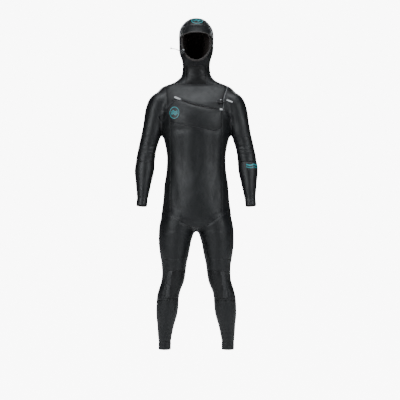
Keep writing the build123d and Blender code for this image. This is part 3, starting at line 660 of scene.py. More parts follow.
# %% Name every face by its panel
def panels(points):
    s = spots(points)
    hand = np.array(["left" if v > 0 else "right" for v in s.x], dtype=object)
    above_zip = np.where(s.zip, s.across > 0, s.z > along(ZIP_LINE, s.x))
    outside = np.where(s.x > 0, s.x > along(LEFT_EDGE, s.z), -s.x > along(RIGHT_EDGE, s.z))
    shoulder = (s.z > PIT) & (s.z < COLLAR + 0.04) & np.where(
        s.y < RIDGE, outside, s.side > along(BACK_EDGE, s.z))
    collar = (s.z > COLLAR) & (s.side < COLLAR_HALF)
    hood = s.z > NECK_TOP
    # each rule overrides the ones before it; a name ending in _ takes the side's own hand
    rules = [
        ("belly_panel", s.z > 0), ("back_lower", s.y > 0), ("back_upper", (s.y > 0) & (s.z > WAIST)),
        ("chest_panel", (s.y < RIDGE) & (s.z > along(CHEST_SEAM, s.x)) & (s.z < 1.5)),
        ("chest_yoke", (s.y < RIDGE) & (s.z > 1.30) & above_zip), ("back_upper", (s.y > RIDGE) & (s.z > PIT)),
        ("side_", (s.side > SIDE) & (s.z < PIT)), ("thigh_", (s.z < thigh_line(s.x, s.y)) & ~s.arm),
        ("sleeve_", shoulder | (s.arm & (s.z > ELBOW_TOP))), ("neck_back", collar),
        ("neck_front", collar & (s.side < NECK_HALF) & (s.y < 0)), ("hood_", hood),
        ("hood_crown", hood & (s.side < CROWN_HALF) & ((s.y > 0) | (s.z > BROW))),
        ("elbow_", s.arm & (s.z < ELBOW_TOP)), ("forearm_", s.arm & (s.z < ELBOW_LOW)),
        ("wrist_cuff_", s.arm & (s.z < 1.0) & (s.wrist > 0)), ("knee_", s.z < KNEE_TOP),
        ("knee_pad_", (s.z < PAD_TOP) & (s.z > PAD_LOW) & (s.side < pad_edge(s.z)) & (s.y < pad_back(s.z))),
        ("shin_", s.z < KNEE_LOW), ("ankle_cuff_", s.z < ANKLE_TOP),
        ("", s.z < ANKLE_LOW), ("", s.arm & (s.wrist > CUFF_LONG["wrist"])),
        ("", s.zip & (np.abs(s.across) < ZIP_GAP) & (s.angle > zip_angles[0] + ZIP_NEAR)
         & (s.angle < zip_angles[1] - ZIP_FAR)),
        ("", (face_field(s.x, s.z) < 0) & (s.y < -0.02) & (s.z > 1.585))]
    names = np.full(len(points), "", dtype=object)
    for name, inside in rules:
        names[inside] = name + hand[inside] if name.endswith("_") else name
    return names


body.faces.ensure_lookup_table()
centres = np.array([f.calc_center_median()[:] for f in body.faces])
face_names = panels(centres)
panel_names = sorted(set(face_names) - {""})
print(len(panel_names), "panels:", ", ".join(panel_names))

# %% [markdown]
# Each panel is its own sheet of foam rubber about four millimetres thick with a woven
# face outside and a soft lining inside. The sheet is thickened inwards from the skin, and
# its edge is pressed in a little so that neighbouring panels meet in a fine groove, as
# glued and blind-stitched rubber does.

# %% Panels
SHEET, GROOVE = 0.0042, 0.0009
panel_code = {name: i for i, name in enumerate(panel_names)}
code = np.array([panel_code.get(name, -1) for name in face_names])
vertex_of = np.array([v.co[:] for v in body.verts])
body.verts.index_update()
body.verts.ensure_lookup_table()
body.normal_update()
normal_of = np.array([v.normal[:] for v in body.verts])
# where the cloth runs on unbroken, the join is only the design's own, so it gets no groove
UNBROKEN = [{"thigh", "knee"}, {"sleeve", "elbow"}]


def is_seam(kinds):
    names = {panel_names[k].split("_")[0] for k in kinds if k >= 0}
    return len(kinds) > 1 and names not in UNBROKEN


at_seam = np.zeros(len(vertex_of), bool)
for vert in body.verts:
    at_seam[vert.index] = is_seam({code[f.index] for f in vert.link_faces})
seam_edges = []
for edge in body.edges:
    kinds = {int(code[f.index]) for f in edge.link_faces}
    if len(kinds) == 2 and -1 not in kinds and is_seam(kinds):
        seam_edges.append((edge.verts[0].index, edge.verts[1].index, kinds))
panel_objects = {}
for name in panel_names:
    chosen = [f for f in body.faces if code[f.index] == panel_code[name]]
    used = sorted({v.index for f in chosen for v in f.verts})
    new_index = {old: i for i, old in enumerate(used)}
    points = vertex_of[used].copy()
    rim = at_seam[used]
    points[rim] -= normal_of[used][rim] * GROOVE
    mesh = new_mesh(name + "_skin", points, [[new_index[v.index] for v in f.verts] for f in chosen])
    panel = collect(bpy.data.objects.new("panel_" + name, mesh))
    rim_group = panel.vertex_groups.new(name="rim")
    rim_group.add(np.nonzero(rim)[0].tolist(), 1.0, "REPLACE")
    panel_objects[name] = panel
body.free()
print("panels made:", len(panel_objects), "smallest", min(
    (len(o.data.polygons), n) for n, o in panel_objects.items()))

# %% [markdown]
# Finishes. Nearly everything is black, so each black has its own weave and gloss:
# a matt knitted face on the panels, smooth skin rubber at the throat that seals against
# water, moulded rubber on the knees, ribbed tape beside the zip. The knee pads' outer strips get
# a lighter black, a painted highlight. All patterns are worked out from the piece's own place, so they never
# swim.

# %% Finishes
def finish_named(name, dark, light, rough=(0.5, 0.65), mottle=22.0, weave=None, grain=None, wrinkle=0.0,
                 sheen=0.0, coat=0.0, metallic=0.0, specular=0.5):
    """Mottled colour and gloss, over optional wrinkles, weave (pitch, depth) and grain (scale, depth)."""
    mat = bpy.data.materials.new(name)
    mat.use_nodes = True
    tree = mat.node_tree
    tree.nodes.clear()
    place = add_node(tree, "ShaderNodeTexCoord").outputs["Object"]
    noise = add_node(tree, "ShaderNodeTexNoise", [("Vector", place), ("Scale", mottle), ("Detail", 5.0)])
    colour = add_node(tree, "ShaderNodeMix", data_type="RGBA")
    for socket, value in (("A", (*dark, 1)), ("B", (*light, 1))):
        colour.inputs[socket].default_value = value
    tree.links.new(noise.outputs["Fac"], colour.inputs["Factor"])
    patches = add_node(tree, "ShaderNodeTexNoise", [
        ("Vector", place), ("Scale", mottle * 2.6), ("Detail", 3.0)])
    gloss = add_node(tree, "ShaderNodeMapRange", [
        ("Value", patches.outputs["Fac"]), ("From Min", 0.3), ("From Max", 0.7),
        ("To Min", rough[0]), ("To Max", rough[1])])
    shader = add_node(tree, "ShaderNodeBsdfPrincipled", [
        ("Base Color", colour.outputs["Result"]), ("Roughness", gloss.outputs["Result"]),
        ("Metallic", metallic), ("Specular IOR Level", specular), ("Sheen Weight", sheen),
        ("Sheen Roughness", 0.45),
        ("Coat Weight", coat), ("Coat Roughness", 0.25)])
    heights = []
    if wrinkle:
        folds = add_node(tree, "ShaderNodeTexNoise", [
            ("Vector", place), ("Scale", 16.0), ("Detail", 3.0), ("Distortion", 0.6)])
        heights.append((folds.outputs["Fac"], wrinkle, 0.55))
    if weave:
        bands = [add_node(tree, "ShaderNodeTexWave", [
            ("Vector", place), ("Scale", 0.314 / weave[0]), ("Distortion", 0.4)],
            bands_direction=direction).outputs["Fac"] for direction in ("X", "Z")]
        crossed = add_node(tree, "ShaderNodeMath", enumerate(bands), operation="MULTIPLY")
        heights.append((crossed.outputs[0], weave[1], 0.5))
    if grain:
        cells = add_node(tree, "ShaderNodeTexVoronoi", [("Vector", place), ("Scale", grain[0])])
        heights.append((cells.outputs["Distance"], grain[1], 0.6))
    last = []
    for height, depth, strength in heights:
        bump = add_node(tree, "ShaderNodeBump", [
            ("Height", height), ("Distance", depth), ("Strength", strength)] + last)
        last = [("Normal", bump.outputs[0])]
    if last:
        tree.links.new(last[0][1], shader.inputs["Normal"])
    add_node(tree, "ShaderNodeOutputMaterial", [(0, shader.outputs[0])])
    return mat


knit = finish_named("knit face", (0.0008, 0.0011, 0.0016), (0.0018, 0.0023, 0.0032), (0.38, 0.50), 18,
                    weave=(0.0016, 0.0003), wrinkle=0.0016, sheen=0.02, specular=0.36)
throat = finish_named("smooth skin", (0.0012, 0.0012, 0.0014), (0.0022, 0.0022, 0.0025), (0.40, 0.50), 30,
                      grain=(1400, 0.0002), wrinkle=0.0016, specular=0.26)
lining = finish_named("lining", (0.016, 0.010, 0.008), (0.030, 0.020, 0.016), (0.75, 0.9), 40,
                      weave=(0.0018, 0.0004), sheen=0.4)
pad_face = finish_named("pad rubber", (0.0008, 0.0009, 0.0012), (0.0018, 0.0019, 0.0024), (0.40, 0.52), 26,
                        grain=(230, 0.0006), specular=0.30)
# a lighter black for the outer strip of each knee pad: a painted highlight
painted_highlight_edge = finish_named("painted highlight strip", (0.0030, 0.0033, 0.0040), (0.0065, 0.0068, 0.0078),
                           (0.34, 0.46), 26, weave=(0.0024, 0.0006))
binding_cloth = finish_named("binding", (0.006, 0.0035, 0.0028), (0.014, 0.009, 0.007), (0.5, 0.7), 60,
                             weave=(0.0013, 0.0003), sheen=0.25)
tape_cloth = finish_named("zip tape", (0.0015, 0.0015, 0.0018), (0.0035, 0.0035, 0.004), (0.55, 0.7), 60,
                          weave=(0.0011, 0.0005))
tooth_plastic = finish_named("teeth", (0.002, 0.002, 0.002), (0.006, 0.006, 0.0065), (0.28, 0.4), 200)
dark_hard = finish_named("dark plastic", (0.002, 0.002, 0.0024), (0.005, 0.005, 0.0055), (0.28, 0.42), 90,
                         grain=(1600, 0.0001))
pale_hard = finish_named("light plastic", (0.20, 0.205, 0.21), (0.32, 0.325, 0.33), (0.32, 0.45), 90,
                         grain=(1600, 0.0001))
cord_pale = finish_named("light cord", (0.01, 0.01, 0.011), (0.26, 0.26, 0.27), (0.6, 0.8), 620,
                         weave=(0.0009, 0.0004))
cord_black = finish_named("dark cord", (0.010, 0.010, 0.011), (0.05, 0.05, 0.052), (0.6, 0.8), 600,
                          weave=(0.0009, 0.0004))
lace_cloth = finish_named("lace", (0.07, 0.072, 0.075), (0.16, 0.165, 0.17), (0.6, 0.75), 500,
                          weave=(0.0010, 0.0005))
thread = finish_named("thread", (0.003, 0.003, 0.0034), (0.010, 0.010, 0.011), (0.45, 0.6), 300)
steel = finish_named("spring steel", (0.42, 0.42, 0.43), (0.60, 0.60, 0.61), (0.22, 0.35), 120, metallic=1.0)
pale_print = finish_named("light print", (0.34, 0.345, 0.35), (0.48, 0.485, 0.49), (0.4, 0.5), 120,
                          weave=(0.0014, 0.0002))


def badge_finish(name, ring, waves, field=(0.0022, 0.0024, 0.0028), ink=(0.012, 0.20, 0.225)):
    """A printed badge on its own -1..1 map: a thin teal ring, and teal waves on a black ground."""
    mat = finish_named(name, field, tuple(c * 1.25 for c in field), (0.38, 0.5), 60, weave=(0.0014, 0.0002))
    tree = mat.node_tree
    shader = next(n for n in tree.nodes if n.type == "BSDF_PRINCIPLED")
    ground = shader.inputs["Base Color"].links[0].from_socket
    where = add_node(tree, "ShaderNodeUVMap", uv_map="patch").outputs[0]
    centred = add_node(tree, "ShaderNodeVectorMath", [(0, where), (1, (2, 2, 0)), (2, (-1, -1, 0))],
                   operation="MULTIPLY_ADD").outputs[0]
    split = add_node(tree, "ShaderNodeSeparateXYZ", [(0, centred)])

    def maths(kind, *values):
        return add_node(tree, "ShaderNodeMath", enumerate(values), operation=kind).outputs[0]

    def band(value, low, high):
        return maths("MULTIPLY", maths("GREATER_THAN", value, low), maths("LESS_THAN", value, high))

    reach = add_node(tree, "ShaderNodeVectorMath", [(0, centred)], operation="LENGTH").outputs["Value"]
    middle = maths("LESS_THAN", reach, ring - 0.20)
    ripple = maths("MULTIPLY", maths("SINE", maths("MULTIPLY", split.outputs["X"], 7.5)), 0.13)
    height = maths("ADD", split.outputs["Y"], ripple)
    mask = band(reach, ring, ring + 0.09)
    for low, high in waves:
        mask = maths("MAXIMUM", mask, maths("MULTIPLY", band(height, low, high), middle))
    mix = add_node(tree, "ShaderNodeMix", data_type="RGBA")
    mix.inputs["B"].default_value = (*ink, 1)
    for socket, source in (("Factor", mask), ("A", ground)):
        tree.links.new(source, mix.inputs[socket])
    tree.links.new(mix.outputs["Result"], shader.inputs["Base Color"])
    return mat


chest_print = badge_finish("chest badge print", 0.86, [(-0.30, -0.18), (-0.06, 0.06), (0.18, 0.30)])
hood_print = badge_finish("hood badge print", 0.86, [(-0.22, -0.06), (0.10, 0.26)])
forearm_print = badge_finish("forearm badge print", 1.6, [(-0.55, -0.35), (0.05, 0.45)])
print("finishes:", len(bpy.data.materials))


# %% [markdown]
# Each panel gets its cloth outside and its lining inside, is rounded once and thickened,
# and is put on the body it moves with. Elbows and knees go on no body: their place is baked
# into the mesh, because the rubber there stretches instead of turning on a hinge.

# %% Finish and place the panels
BODY_OF = {"forearm": "forearm", "wrist": "forearm", "shin": "shin", "ankle": "shin"}
STANDS_FOR = {"chest_yoke": ["chest_yoke", "neck_collar"], "belly_panel": ["belly_panel", "hip_front"],
              "back_lower": ["back_lower", "hip_back"], "thigh_left": ["thigh_left", "crotch_gusset"],
              "sleeve_left": ["sleeve_left", "shoulder_left"],
              "sleeve_right": ["sleeve_right", "shoulder_right"]}


def settle(obj, name):
    """Puts a suit piece on the body it moves with."""
    hand = name.rsplit("_", 1)[-1]
    kind = name.split("_")[0]
    if kind in ("elbow", "knee"):
        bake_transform(obj)
    elif kind in BODY_OF:
        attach(obj, BODY_OF[kind] + "_" + hand)
    else:
        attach(obj, "suit")


for name, panel in panel_objects.items():
    outer, cloth_slot = knit, "stretch_black"
    if name == "neck_front":
        outer, cloth_slot = throat, "smooth_rubber"
    if name.startswith("knee_pad"):
        outer, cloth_slot = pad_face, "pad_rubber"
        mesh = panel.data
        rim = {v.index for v in mesh.vertices if v.groups}
        for vert in mesh.vertices:
            if vert.index not in rim:
                vert.co += vert.normal * GROOVE
    panel.data.materials.append(outer)
    panel.data.materials.append(lining)
    # down the outer side of each knee pad the faces get the lighter black: a painted highlight
    if name.startswith("knee_pad"):
        panel.data.materials.append(painted_highlight_edge)
        for face in panel.data.polygons:
            x, z = abs(face.center.x), face.center.z + CROTCH
            if x > float(pad_edge(z)) - 0.022 and z > 0.405:
                face.material_index = 2
    rounding = panel.modifiers.new("round", "SUBSURF")
    rounding.levels = rounding.render_levels = 1
    sheet = thicken(panel, SHEET)
    sheet.material_offset = sheet.material_offset_rim = 1
    settle(panel, name)
    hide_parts(*STANDS_FOR.get(name, [name]))
print("panels finished")

# %% [markdown]
# Seams are glued, then stitched. The stitches are one row of short slanted threads across
# each groove. A node tree lays them: it walks the seam, drops a small thread every few
# millimetres, and turns it to lie on the skin. The same tree sets the teeth of the zip.

# %% A tree that lays small pieces along a line
laying = bpy.data.node_groups.new("lay along a line", "GeometryNodeTree")
for label, kind in (("Line", "Geometry"), ("Piece", "Object"), ("Spacing", "Float"), ("Slant", "Float"),
                    ("Seed", "Int"), ("Finish", "Material")):
    laying.interface.new_socket(label, in_out="INPUT", socket_type="NodeSocket" + kind)
laying.interface.new_socket("Pieces", in_out="OUTPUT", socket_type="NodeSocketGeometry")


def step(kind, inputs=(), output=0, **settings):
    """One step of the tree. Returns what the next step takes from it."""
    return add_node(laying, kind, inputs, **settings).outputs[output]


given = add_node(laying, "NodeGroupInput").outputs
run = step("GeometryNodeMeshToCurve", [(0, given["Line"])])
places = step("GeometryNodeResampleCurve", [("Curve", run), ("Length", given["Spacing"])], mode="LENGTH")
outward = step("GeometryNodeInputNamedAttribute", [("Name", "outward")], data_type="FLOAT_VECTOR")
upright = step("FunctionNodeAlignRotationToVector", [("Vector", outward)], axis="Z")
ahead = step("FunctionNodeAlignRotationToVector", [
    ("Rotation", upright), ("Vector", step("GeometryNodeInputTangent"))], axis="X", pivot_axis="Z")
shake = step("FunctionNodeRandomValue", [(2, 0.85), (3, 1.15), ("Seed", given["Seed"])], 1, data_type="FLOAT")
lean = step("ShaderNodeMath", [(0, given["Slant"]), (1, shake)], operation="MULTIPLY")
turn = step("FunctionNodeEulerToRotation", [(0, step("ShaderNodeCombineXYZ", [("Z", lean)]))])
turned = step("FunctionNodeRotateRotation", [("Rotation", ahead), ("Rotate By", turn)], rotation_space="LOCAL")
shape = step("GeometryNodeObjectInfo", [("Object", given["Piece"])], "Geometry")
laid = step("GeometryNodeInstanceOnPoints", [("Points", places), ("Instance", shape), ("Rotation", turned)])
real = step("GeometryNodeRealizeInstances", [(0, laid)])
painted = step("GeometryNodeSetMaterial", [("Geometry", real), ("Material", given["Finish"])])
add_node(laying, "NodeGroupOutput", [(0, painted)])


def lay_along(name, points, edges, outs, piece, spacing, slant, finish, seed=7):
    """Small pieces along lines of points, as one plain mesh."""
    line = bpy.data.meshes.new(name + "_line")
    line.from_pydata([tuple(p) for p in points], edges, [])
    store = line.attributes.new("outward", "FLOAT_VECTOR", "POINT")
    store.data.foreach_set("vector", np.array(outs, np.float32).ravel())
    holder = collect(bpy.data.objects.new(name + "_holder", line))
    modifier = holder.modifiers.new("lay", "NODES")
    modifier.node_group = laying
    values = {"Piece": piece, "Spacing": spacing, "Slant": slant, "Seed": seed, "Finish": finish}
    for item in laying.interface.items_tree:
        if item.in_out == "INPUT" and item.name in values:
            modifier[item.identifier] = values[item.name]
    mesh = plain_mesh(holder, name)
    remove(holder)
    made = collect(bpy.data.objects.new(name, mesh))
    if not mesh.materials:
        mesh.materials.append(finish)
    smooth(mesh)
    return made


def little_piece(name, length, width, tall, sides=6):
    """A short rounded bar lying along X, sitting on z = 0."""
    points = []
    stations = [(-0.5, 0.35), (-0.36, 0.9), (0.0, 1.0), (0.36, 0.9), (0.5, 0.35)]
    for at, size in stations:
        for k in range(sides):
            a = 2 * math.pi * k / sides
            points.append((at * length, math.cos(a) * width / 2 * size, (math.sin(a) * size) * tall / 2))
    faces = grid_faces(len(stations), sides, loop_cols=True)
    faces.append(tuple(range(sides)))
    faces.append(tuple(reversed(range((len(stations) - 1) * sides, len(stations) * sides))))
    return bpy.data.objects.new(name, new_mesh(name, points, faces, closed=True))


# %% [markdown]
# The stitching thread is black like the cloth, and stands less than a millimetre proud, so
# it shows only as a fine broken line in each groove.

# %% Stitches
stitch = little_piece("stitch", 0.0046, 0.0008, 0.0008)
seam_groups = {}
for a, b, pair in seam_edges:
    names = sorted(panel_names[k] for k in pair)
    kinds = [n.split("_")[0] for n in names]
    hands = [n.rsplit("_", 1)[-1] for n in names]
    key = "suit"
    for n, kind, hand in zip(names, kinds, hands):
        if kind in BODY_OF:
            key = BODY_OF[kind] + "_" + hand
    if all(kind == "knee" for kind in kinds):
        key = "knee_" + hands[0]
    seam_groups.setdefault(key, []).append((a, b))
for key, edges in seam_groups.items():
    used = sorted({i for e in edges for i in e})
    at = {old: i for i, old in enumerate(used)}
    points = vertex_of[used] - normal_of[used] * 0.0006
    stitches = lay_along("stitches_" + key, points, [(at[a], at[b]) for a, b in edges], normal_of[used],
                         stitch, 0.0042, 0.75, thread)
    if key.startswith("knee"):
        settle(stitches, key)
    else:
        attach(stitches, key)
    print("stitches", key, len(stitches.data.polygons) // len(stitch.data.polygons))

# %% [markdown]
# Trim that is rolled, wrapped or swept: one helper sweeps a small rounded section along a
# path, and another lays a thin printed patch on the skin by dropping points onto it.

# %% Trim helpers
def sweep(name, points, outs, wide, tall, closed=True, sides=14, square=1.0):
    """A tube along points. wide is across the path on the skin, tall is out from it."""
    points, outs = np.array(points, float), np.array(outs, float)
    count = len(points)
    if closed:
        ahead, behind = np.roll(points, -1, axis=0), np.roll(points, 1, axis=0)
    else:
        ahead = np.vstack([points[1:], points[-1:]])
        behind = np.vstack([points[:1], points[:-1]])
    way = ahead - behind
    way /= np.linalg.norm(way, axis=1)[:, None]
    outs = outs - way * np.sum(outs * way, axis=1)[:, None]
    outs /= np.linalg.norm(outs, axis=1)[:, None]
    cross = np.cross(way, outs)
    wide = np.broadcast_to(wide, count)
    tall = np.broadcast_to(tall, count)
    verts = []
    for i in range(count):
        for k in range(sides):
            a = 2 * math.pi * k / sides
            c, s = math.cos(a), math.sin(a)
            c, s = math.copysign(abs(c) ** square, c), math.copysign(abs(s) ** square, s)
            verts.append(points[i] + cross[i] * c * wide[i] / 2 + outs[i] * s * tall[i] / 2)
    faces = grid_faces(count, sides, loop_rows=closed, loop_cols=True)
    if not closed:
        faces.append(tuple(reversed(range(sides))))
        faces.append(tuple(range((count - 1) * sides, count * sides)))
    return collect(bpy.data.objects.new(name, new_mesh(name, verts, faces, closed=True)))


def drop(origin, direction):
    """Where a point dropped in a direction lands on the skin, and the skin's normal there."""
    spot, normal, _, _ = skin_tree.ray_cast(Vector(origin), Vector(direction).normalized())
    if spot is None:
        spot, normal, _, _ = skin_tree.find_nearest(Vector(origin))
    if normal.dot(Vector(direction)) > 0:
        normal = -normal
    return np.array(spot), np.array(normal)


def front_drop(x, height):
    return drop((x, -0.6, up(height)), (0, 1, 0))


def patch(name, place, finish, count=(26, 26), round_shape=False, out=0.0011, thick=0.0012):
    """A thin printed patch: place(u, v), both 0 to 1, says where to drop each point from."""
    cols, rows = count
    verts, uv = [], []
    for j in range(rows):
        for i in range(cols):
            u, v = i / (cols - 1), j / (rows - 1)
            if round_shape:
                a, b = 2 * u - 1, 2 * v - 1
                a, b = a * math.sqrt(1 - b * b / 2), b * math.sqrt(1 - a * a / 2)
                u, v = (a + 1) / 2, (b + 1) / 2
            spot, normal = drop(*place(u, v))
            verts.append(spot + normal * out)
            uv.append((u, v))
    mesh = new_mesh(name, verts, grid_faces(rows, cols))
    layer = mesh.uv_layers.new(name="patch")
    for loop in mesh.loops:
        layer.data[loop.index].uv = uv[loop.vertex_index]
    first = mesh.polygons[len(mesh.polygons) // 2]
    _, outward = drop(*place(0.5, 0.5))
    if Vector(outward).dot(first.normal) < 0:
        mesh.flip_normals()
    mesh.materials.append(finish)
    made = collect(bpy.data.objects.new(name, mesh))
    thicken(made, thick)
    return made


def give(obj, body, replaced=(), finish=None):
    """Finish, body and the design's nodes for one trim piece."""
    if finish is not None:
        obj.data.materials.clear()
        obj.data.materials.append(finish)
    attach(obj, body)
    if replaced:
        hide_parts(*replaced)
    return obj


# %% [markdown]
# The face opening is finished with a soft rolled binding, gathered over a hidden drawcord.
# The gathers are a fine ripple in the roll's thickness.

# %% Face binding and visor
def face_line(grow, count=150):
    """The face opening's outline, grown outwards, as (x, height) points."""
    half, below, top, corner = FACE_HALF + grow, FACE_DROP + grow, FACE_TOP + grow, FACE_CORNER
    line = [(half * math.sin(a), FACE_WIDEST - below * math.cos(a))
            for a in np.linspace(-math.pi / 2, math.pi / 2, 70)]
    for hand, start in ((1, 0), (-1, math.pi / 2)):
        for a in np.linspace(start, start + math.pi / 2, 12):
            line.append((hand * (half - corner) + corner * math.cos(a), top - corner + corner * math.sin(a)))
    line = np.array(line + line[:1])
    far = np.concatenate([[0], np.cumsum(np.linalg.norm(np.diff(line, axis=0), axis=1))])
    at = np.linspace(0, far[-1], count, endpoint=False)
    return np.stack([np.interp(at, far, line[:, 0]), np.interp(at, far, line[:, 1])], axis=1)


ring_points, ring_outs = [], []
for x, height in face_line(0.0035):
    spot, normal = front_drop(x, height)
    ring_points.append(spot - normal * 0.0018)
    ring_outs.append(normal)
ring_points, ring_outs = np.array(ring_points), np.array(ring_outs)
for _ in range(4):
    ring_points, ring_outs = [(np.roll(ring, 1, axis=0) + 2 * ring + np.roll(ring, -1, axis=0)) / 4
                              for ring in (ring_points, ring_outs)]
steps = np.arange(len(ring_points))
gather = 1 + 0.05 * np.sin(steps * 1.9) + 0.03 * np.sin(steps * 0.73 + 1)
face_roll = sweep("face_roll", ring_points, ring_outs, 0.0088 * gather, 0.0070 * gather, square=0.8)
give(face_roll, "suit", ["face_binding", "hood_drawcord"], binding_cloth)

ROOT, EDGE_LOW, REACH, EDGE_SLOPE = 1.775, 1.737, 0.133, -0.039 / 0.150
root_y, root_wide, root_deep = next(np.array([y, w, d]) / 1000 for h, w, d, y in HOOD if h == ROOT * 1000)
visor_rows = []
for a in np.linspace(-1.18, 1.18, 57):
    top = np.array([root_wide * math.sin(a), root_y - root_deep * math.cos(a), ROOT])
    low = np.array([0.090 * math.sin(a), root_y - (REACH + 0.024) * math.cos(a), EDGE_LOW - 0.020])

    def above_cut(p):
        return p[2] - (EDGE_LOW + 0.012 + (p[1] + 0.200) * EDGE_SLOPE)

    f0, f1 = above_cut(top), above_cut(low)
    t = min(1.0, f0 / (f0 - f1)) if f0 - f1 > 1e-9 else 1.0
    end = top + (low - top) * t
    row = []
    for v in np.linspace(0, 1, 12):
        p = top + (end - top) * v
        p = p + np.array([0, 0, 0.0022]) * math.sin(v * math.pi)
        row.append(p - [0, 0, CROTCH])
    visor_rows.append(row)
visor_rows = np.array(visor_rows)
cols = visor_rows.shape[1]
visor_mesh = new_mesh("visor_shell", visor_rows.reshape(-1, 3), grid_faces(len(visor_rows), cols))
if visor_mesh.polygons[28 * (cols - 1) + 3].normal.z < 0:
    visor_mesh.flip_normals()
visor_shell = collect(bpy.data.objects.new("visor_shell", visor_mesh))
thicken(visor_shell, 0.0030)
give(visor_shell, "suit", ["visor"], knit)
edge_points = visor_rows[:, -1]
edge_outs = visor_rows[:, -1] - visor_rows[:, -2]
edge_outs = np.cross(edge_outs, np.gradient(edge_points, axis=0))
visor_roll = sweep("visor_roll", edge_points, edge_outs, 0.0052, 0.0046, closed=False, sides=12)
give(visor_roll, "suit", (), binding_cloth)
print("face binding and visor made; visor front at y %.1f mm" % (visor_rows[:, :, 1].min() * 1000))

# %% [markdown]
# The badges are rubber prints pressed onto the cloth. Each carries plain waves inside a
# thin ring. The light bars are prints too, and the lace is a flat woven cord sewn along
# the shoulder seam, which leads down to the lock at the collarbone.

# %% Badges, bars and the shoulder lace
chest_patch = patch("chest_patch", lambda u, v: (
    (-0.109 + (u - 0.5) * 0.051, -0.6, up(1.337 + (v - 0.5) * 0.063)), (0, 1, 0)),
    chest_print, round_shape=True)
give(chest_patch, "suit", ["chest_badge"])
tilt = math.radians(52)
badge_out = np.array([0, -math.sin(tilt), math.cos(tilt)])
badge_up = np.array([0, math.cos(tilt), math.sin(tilt)])
badge_at = np.array([0.004, -0.062, up(1.796)])
hood_patch = patch("hood_patch", lambda u, v: (
    badge_at + badge_out * 0.2 + np.array([1, 0, 0]) * (u - 0.5) * 0.060 + badge_up * (v - 0.5) * 0.060,
    -badge_out), hood_print, round_shape=True)
give(hood_patch, "suit", ["hood_badge"])


def forearm_spot(u, v):
    turn_by = math.radians(-100 + 118 * u)
    way = np.array([math.cos(turn_by), math.sin(turn_by), 0])
    return np.array([0.2615, -0.001, up(1.0545 + 0.036 * v)]) + way * 0.12, -way


forearm_patch = patch("forearm_patch", forearm_spot, forearm_print, count=(30, 12))
give(forearm_patch, "forearm_left", ["forearm_badge"])


def bar_patch(name, corners):
    (ax, az), (bx, bz), (cx, cz), (dx, dz) = corners

    def spot(u, v):
        x = (ax * (1 - u) + bx * u) * (1 - v) + (dx * (1 - u) + cx * u) * v
        z = (az * (1 - u) + bz * u) * (1 - v) + (dz * (1 - u) + cz * u) * v
        return (x / 1000, -0.6, up(z / 1000)), (0, 1, 0)

    return patch(name, spot, pale_print, count=(14, 5))


shoulder_bar = bar_patch("shoulder_bar", [(152, 1401), (182, 1390), (185, 1396), (155, 1408)])
corner_bar = bar_patch("corner_bar", [(118.5, 1351), (132, 1350), (132, 1358), (118.5, 1360)])
give(shoulder_bar, "suit", ["light_bars"])
give(corner_bar, "suit")
lace_line = [(134, 1360), (137, 1385), (139.5, 1408), (144.5, 1433), (156, 1462), (158.5, 1474)]
lace_x, lace_height = np.array(lace_line).T
lace_points, lace_outs = [], []
for height in np.linspace(1.360, 1.474, 40):
    spot, normal = front_drop(np.interp(height * 1000, lace_height, lace_x) / 1000, height)
    lace_points.append(spot + normal * 0.0012)
    lace_outs.append(normal)
lace = sweep("lace", lace_points, lace_outs, 0.0030, 0.0024, closed=False, sides=10, square=0.7)
give(lace, "suit", ["shoulder_lace"], lace_cloth)
print("badges, bars and lace made")

# %% [markdown]
# The chest zip is a moulded-tooth zip on woven tape, sewn under the edges of the opening,
# with a soft guard behind it. It curves with the chest, so everything is laid by angle
# along its circle. The teeth stop short of the slider's own post.

# %% Zip
def zip_strip(name, low, high, out, thick, finish, body_nodes):
    """A strip along the whole zip, reaching from low to high across it."""
    rows, cols = 90, 7
    points = [zip_point(across, out, a) for a in np.linspace(*zip_angles, rows)
              for across in np.linspace(low, high, cols)]
    mesh = new_mesh(name, points, grid_faces(rows, cols))
    if mesh.polygons[200].normal.y > 0:
        mesh.flip_normals()
    strip = collect(bpy.data.objects.new(name, mesh))
    thicken(strip, thick, 0)
    return give(strip, "suit", body_nodes, finish)


zip_strip("upper_tape", 0.0030, 0.0118, 0.0, 0.0009, tape_cloth, ["zip_tapes"])
zip_strip("lower_tape", -0.0118, -0.0030, 0.0, 0.0009, tape_cloth, [])
zip_strip("guard", -0.018, 0.018, -0.0062, 0.0015, knit, ["zip_guard"])
chain_points = points_of(frame["nodes"]["zip_chain"].data)
chain_angles = zip_place(chain_points)[2]
TOOTH_PITCH, CHAIN_ENDS, CHAIN_STEPS = 0.0030, 0.004, 240
teeth_parts = []
tooth = little_piece("tooth", 0.0017, 0.0046, 0.0024, sides=8)
for s in (-1, 1):
    steps = np.linspace(chain_angles.min() + CHAIN_ENDS + s * TOOTH_PITCH / 4 / zip_radius,
                        chain_angles.max() - CHAIN_ENDS, CHAIN_STEPS)
    points = [zip_point(s * 0.0023, 0.0, a) for a in steps]
    outs = [zip_point(s * 0.0023, 0.01, a) - zip_point(s * 0.0023, 0.0, a) for a in steps]
    outs = [o / np.linalg.norm(o) for o in outs]
    links = [(i, i + 1) for i in range(CHAIN_STEPS - 1)]
    teeth_parts.append(lay_along("teeth_" + ("upper" if s > 0 else "lower"), points, links, outs,
                                 tooth, TOOTH_PITCH, 0.0, tooth_plastic))
give(teeth_parts[0], "suit", ["zip_chain"])
give(teeth_parts[1], "suit")
print("zip made, teeth:", sum(len(t.data.polygons) for t in teeth_parts) // len(tooth.data.polygons))

# %% [markdown]
# The two cord locks squeeze a doubled drawcord. Each cord is two strands side by side,
# tied in a small round knot at the end so that the lock can't fall off.

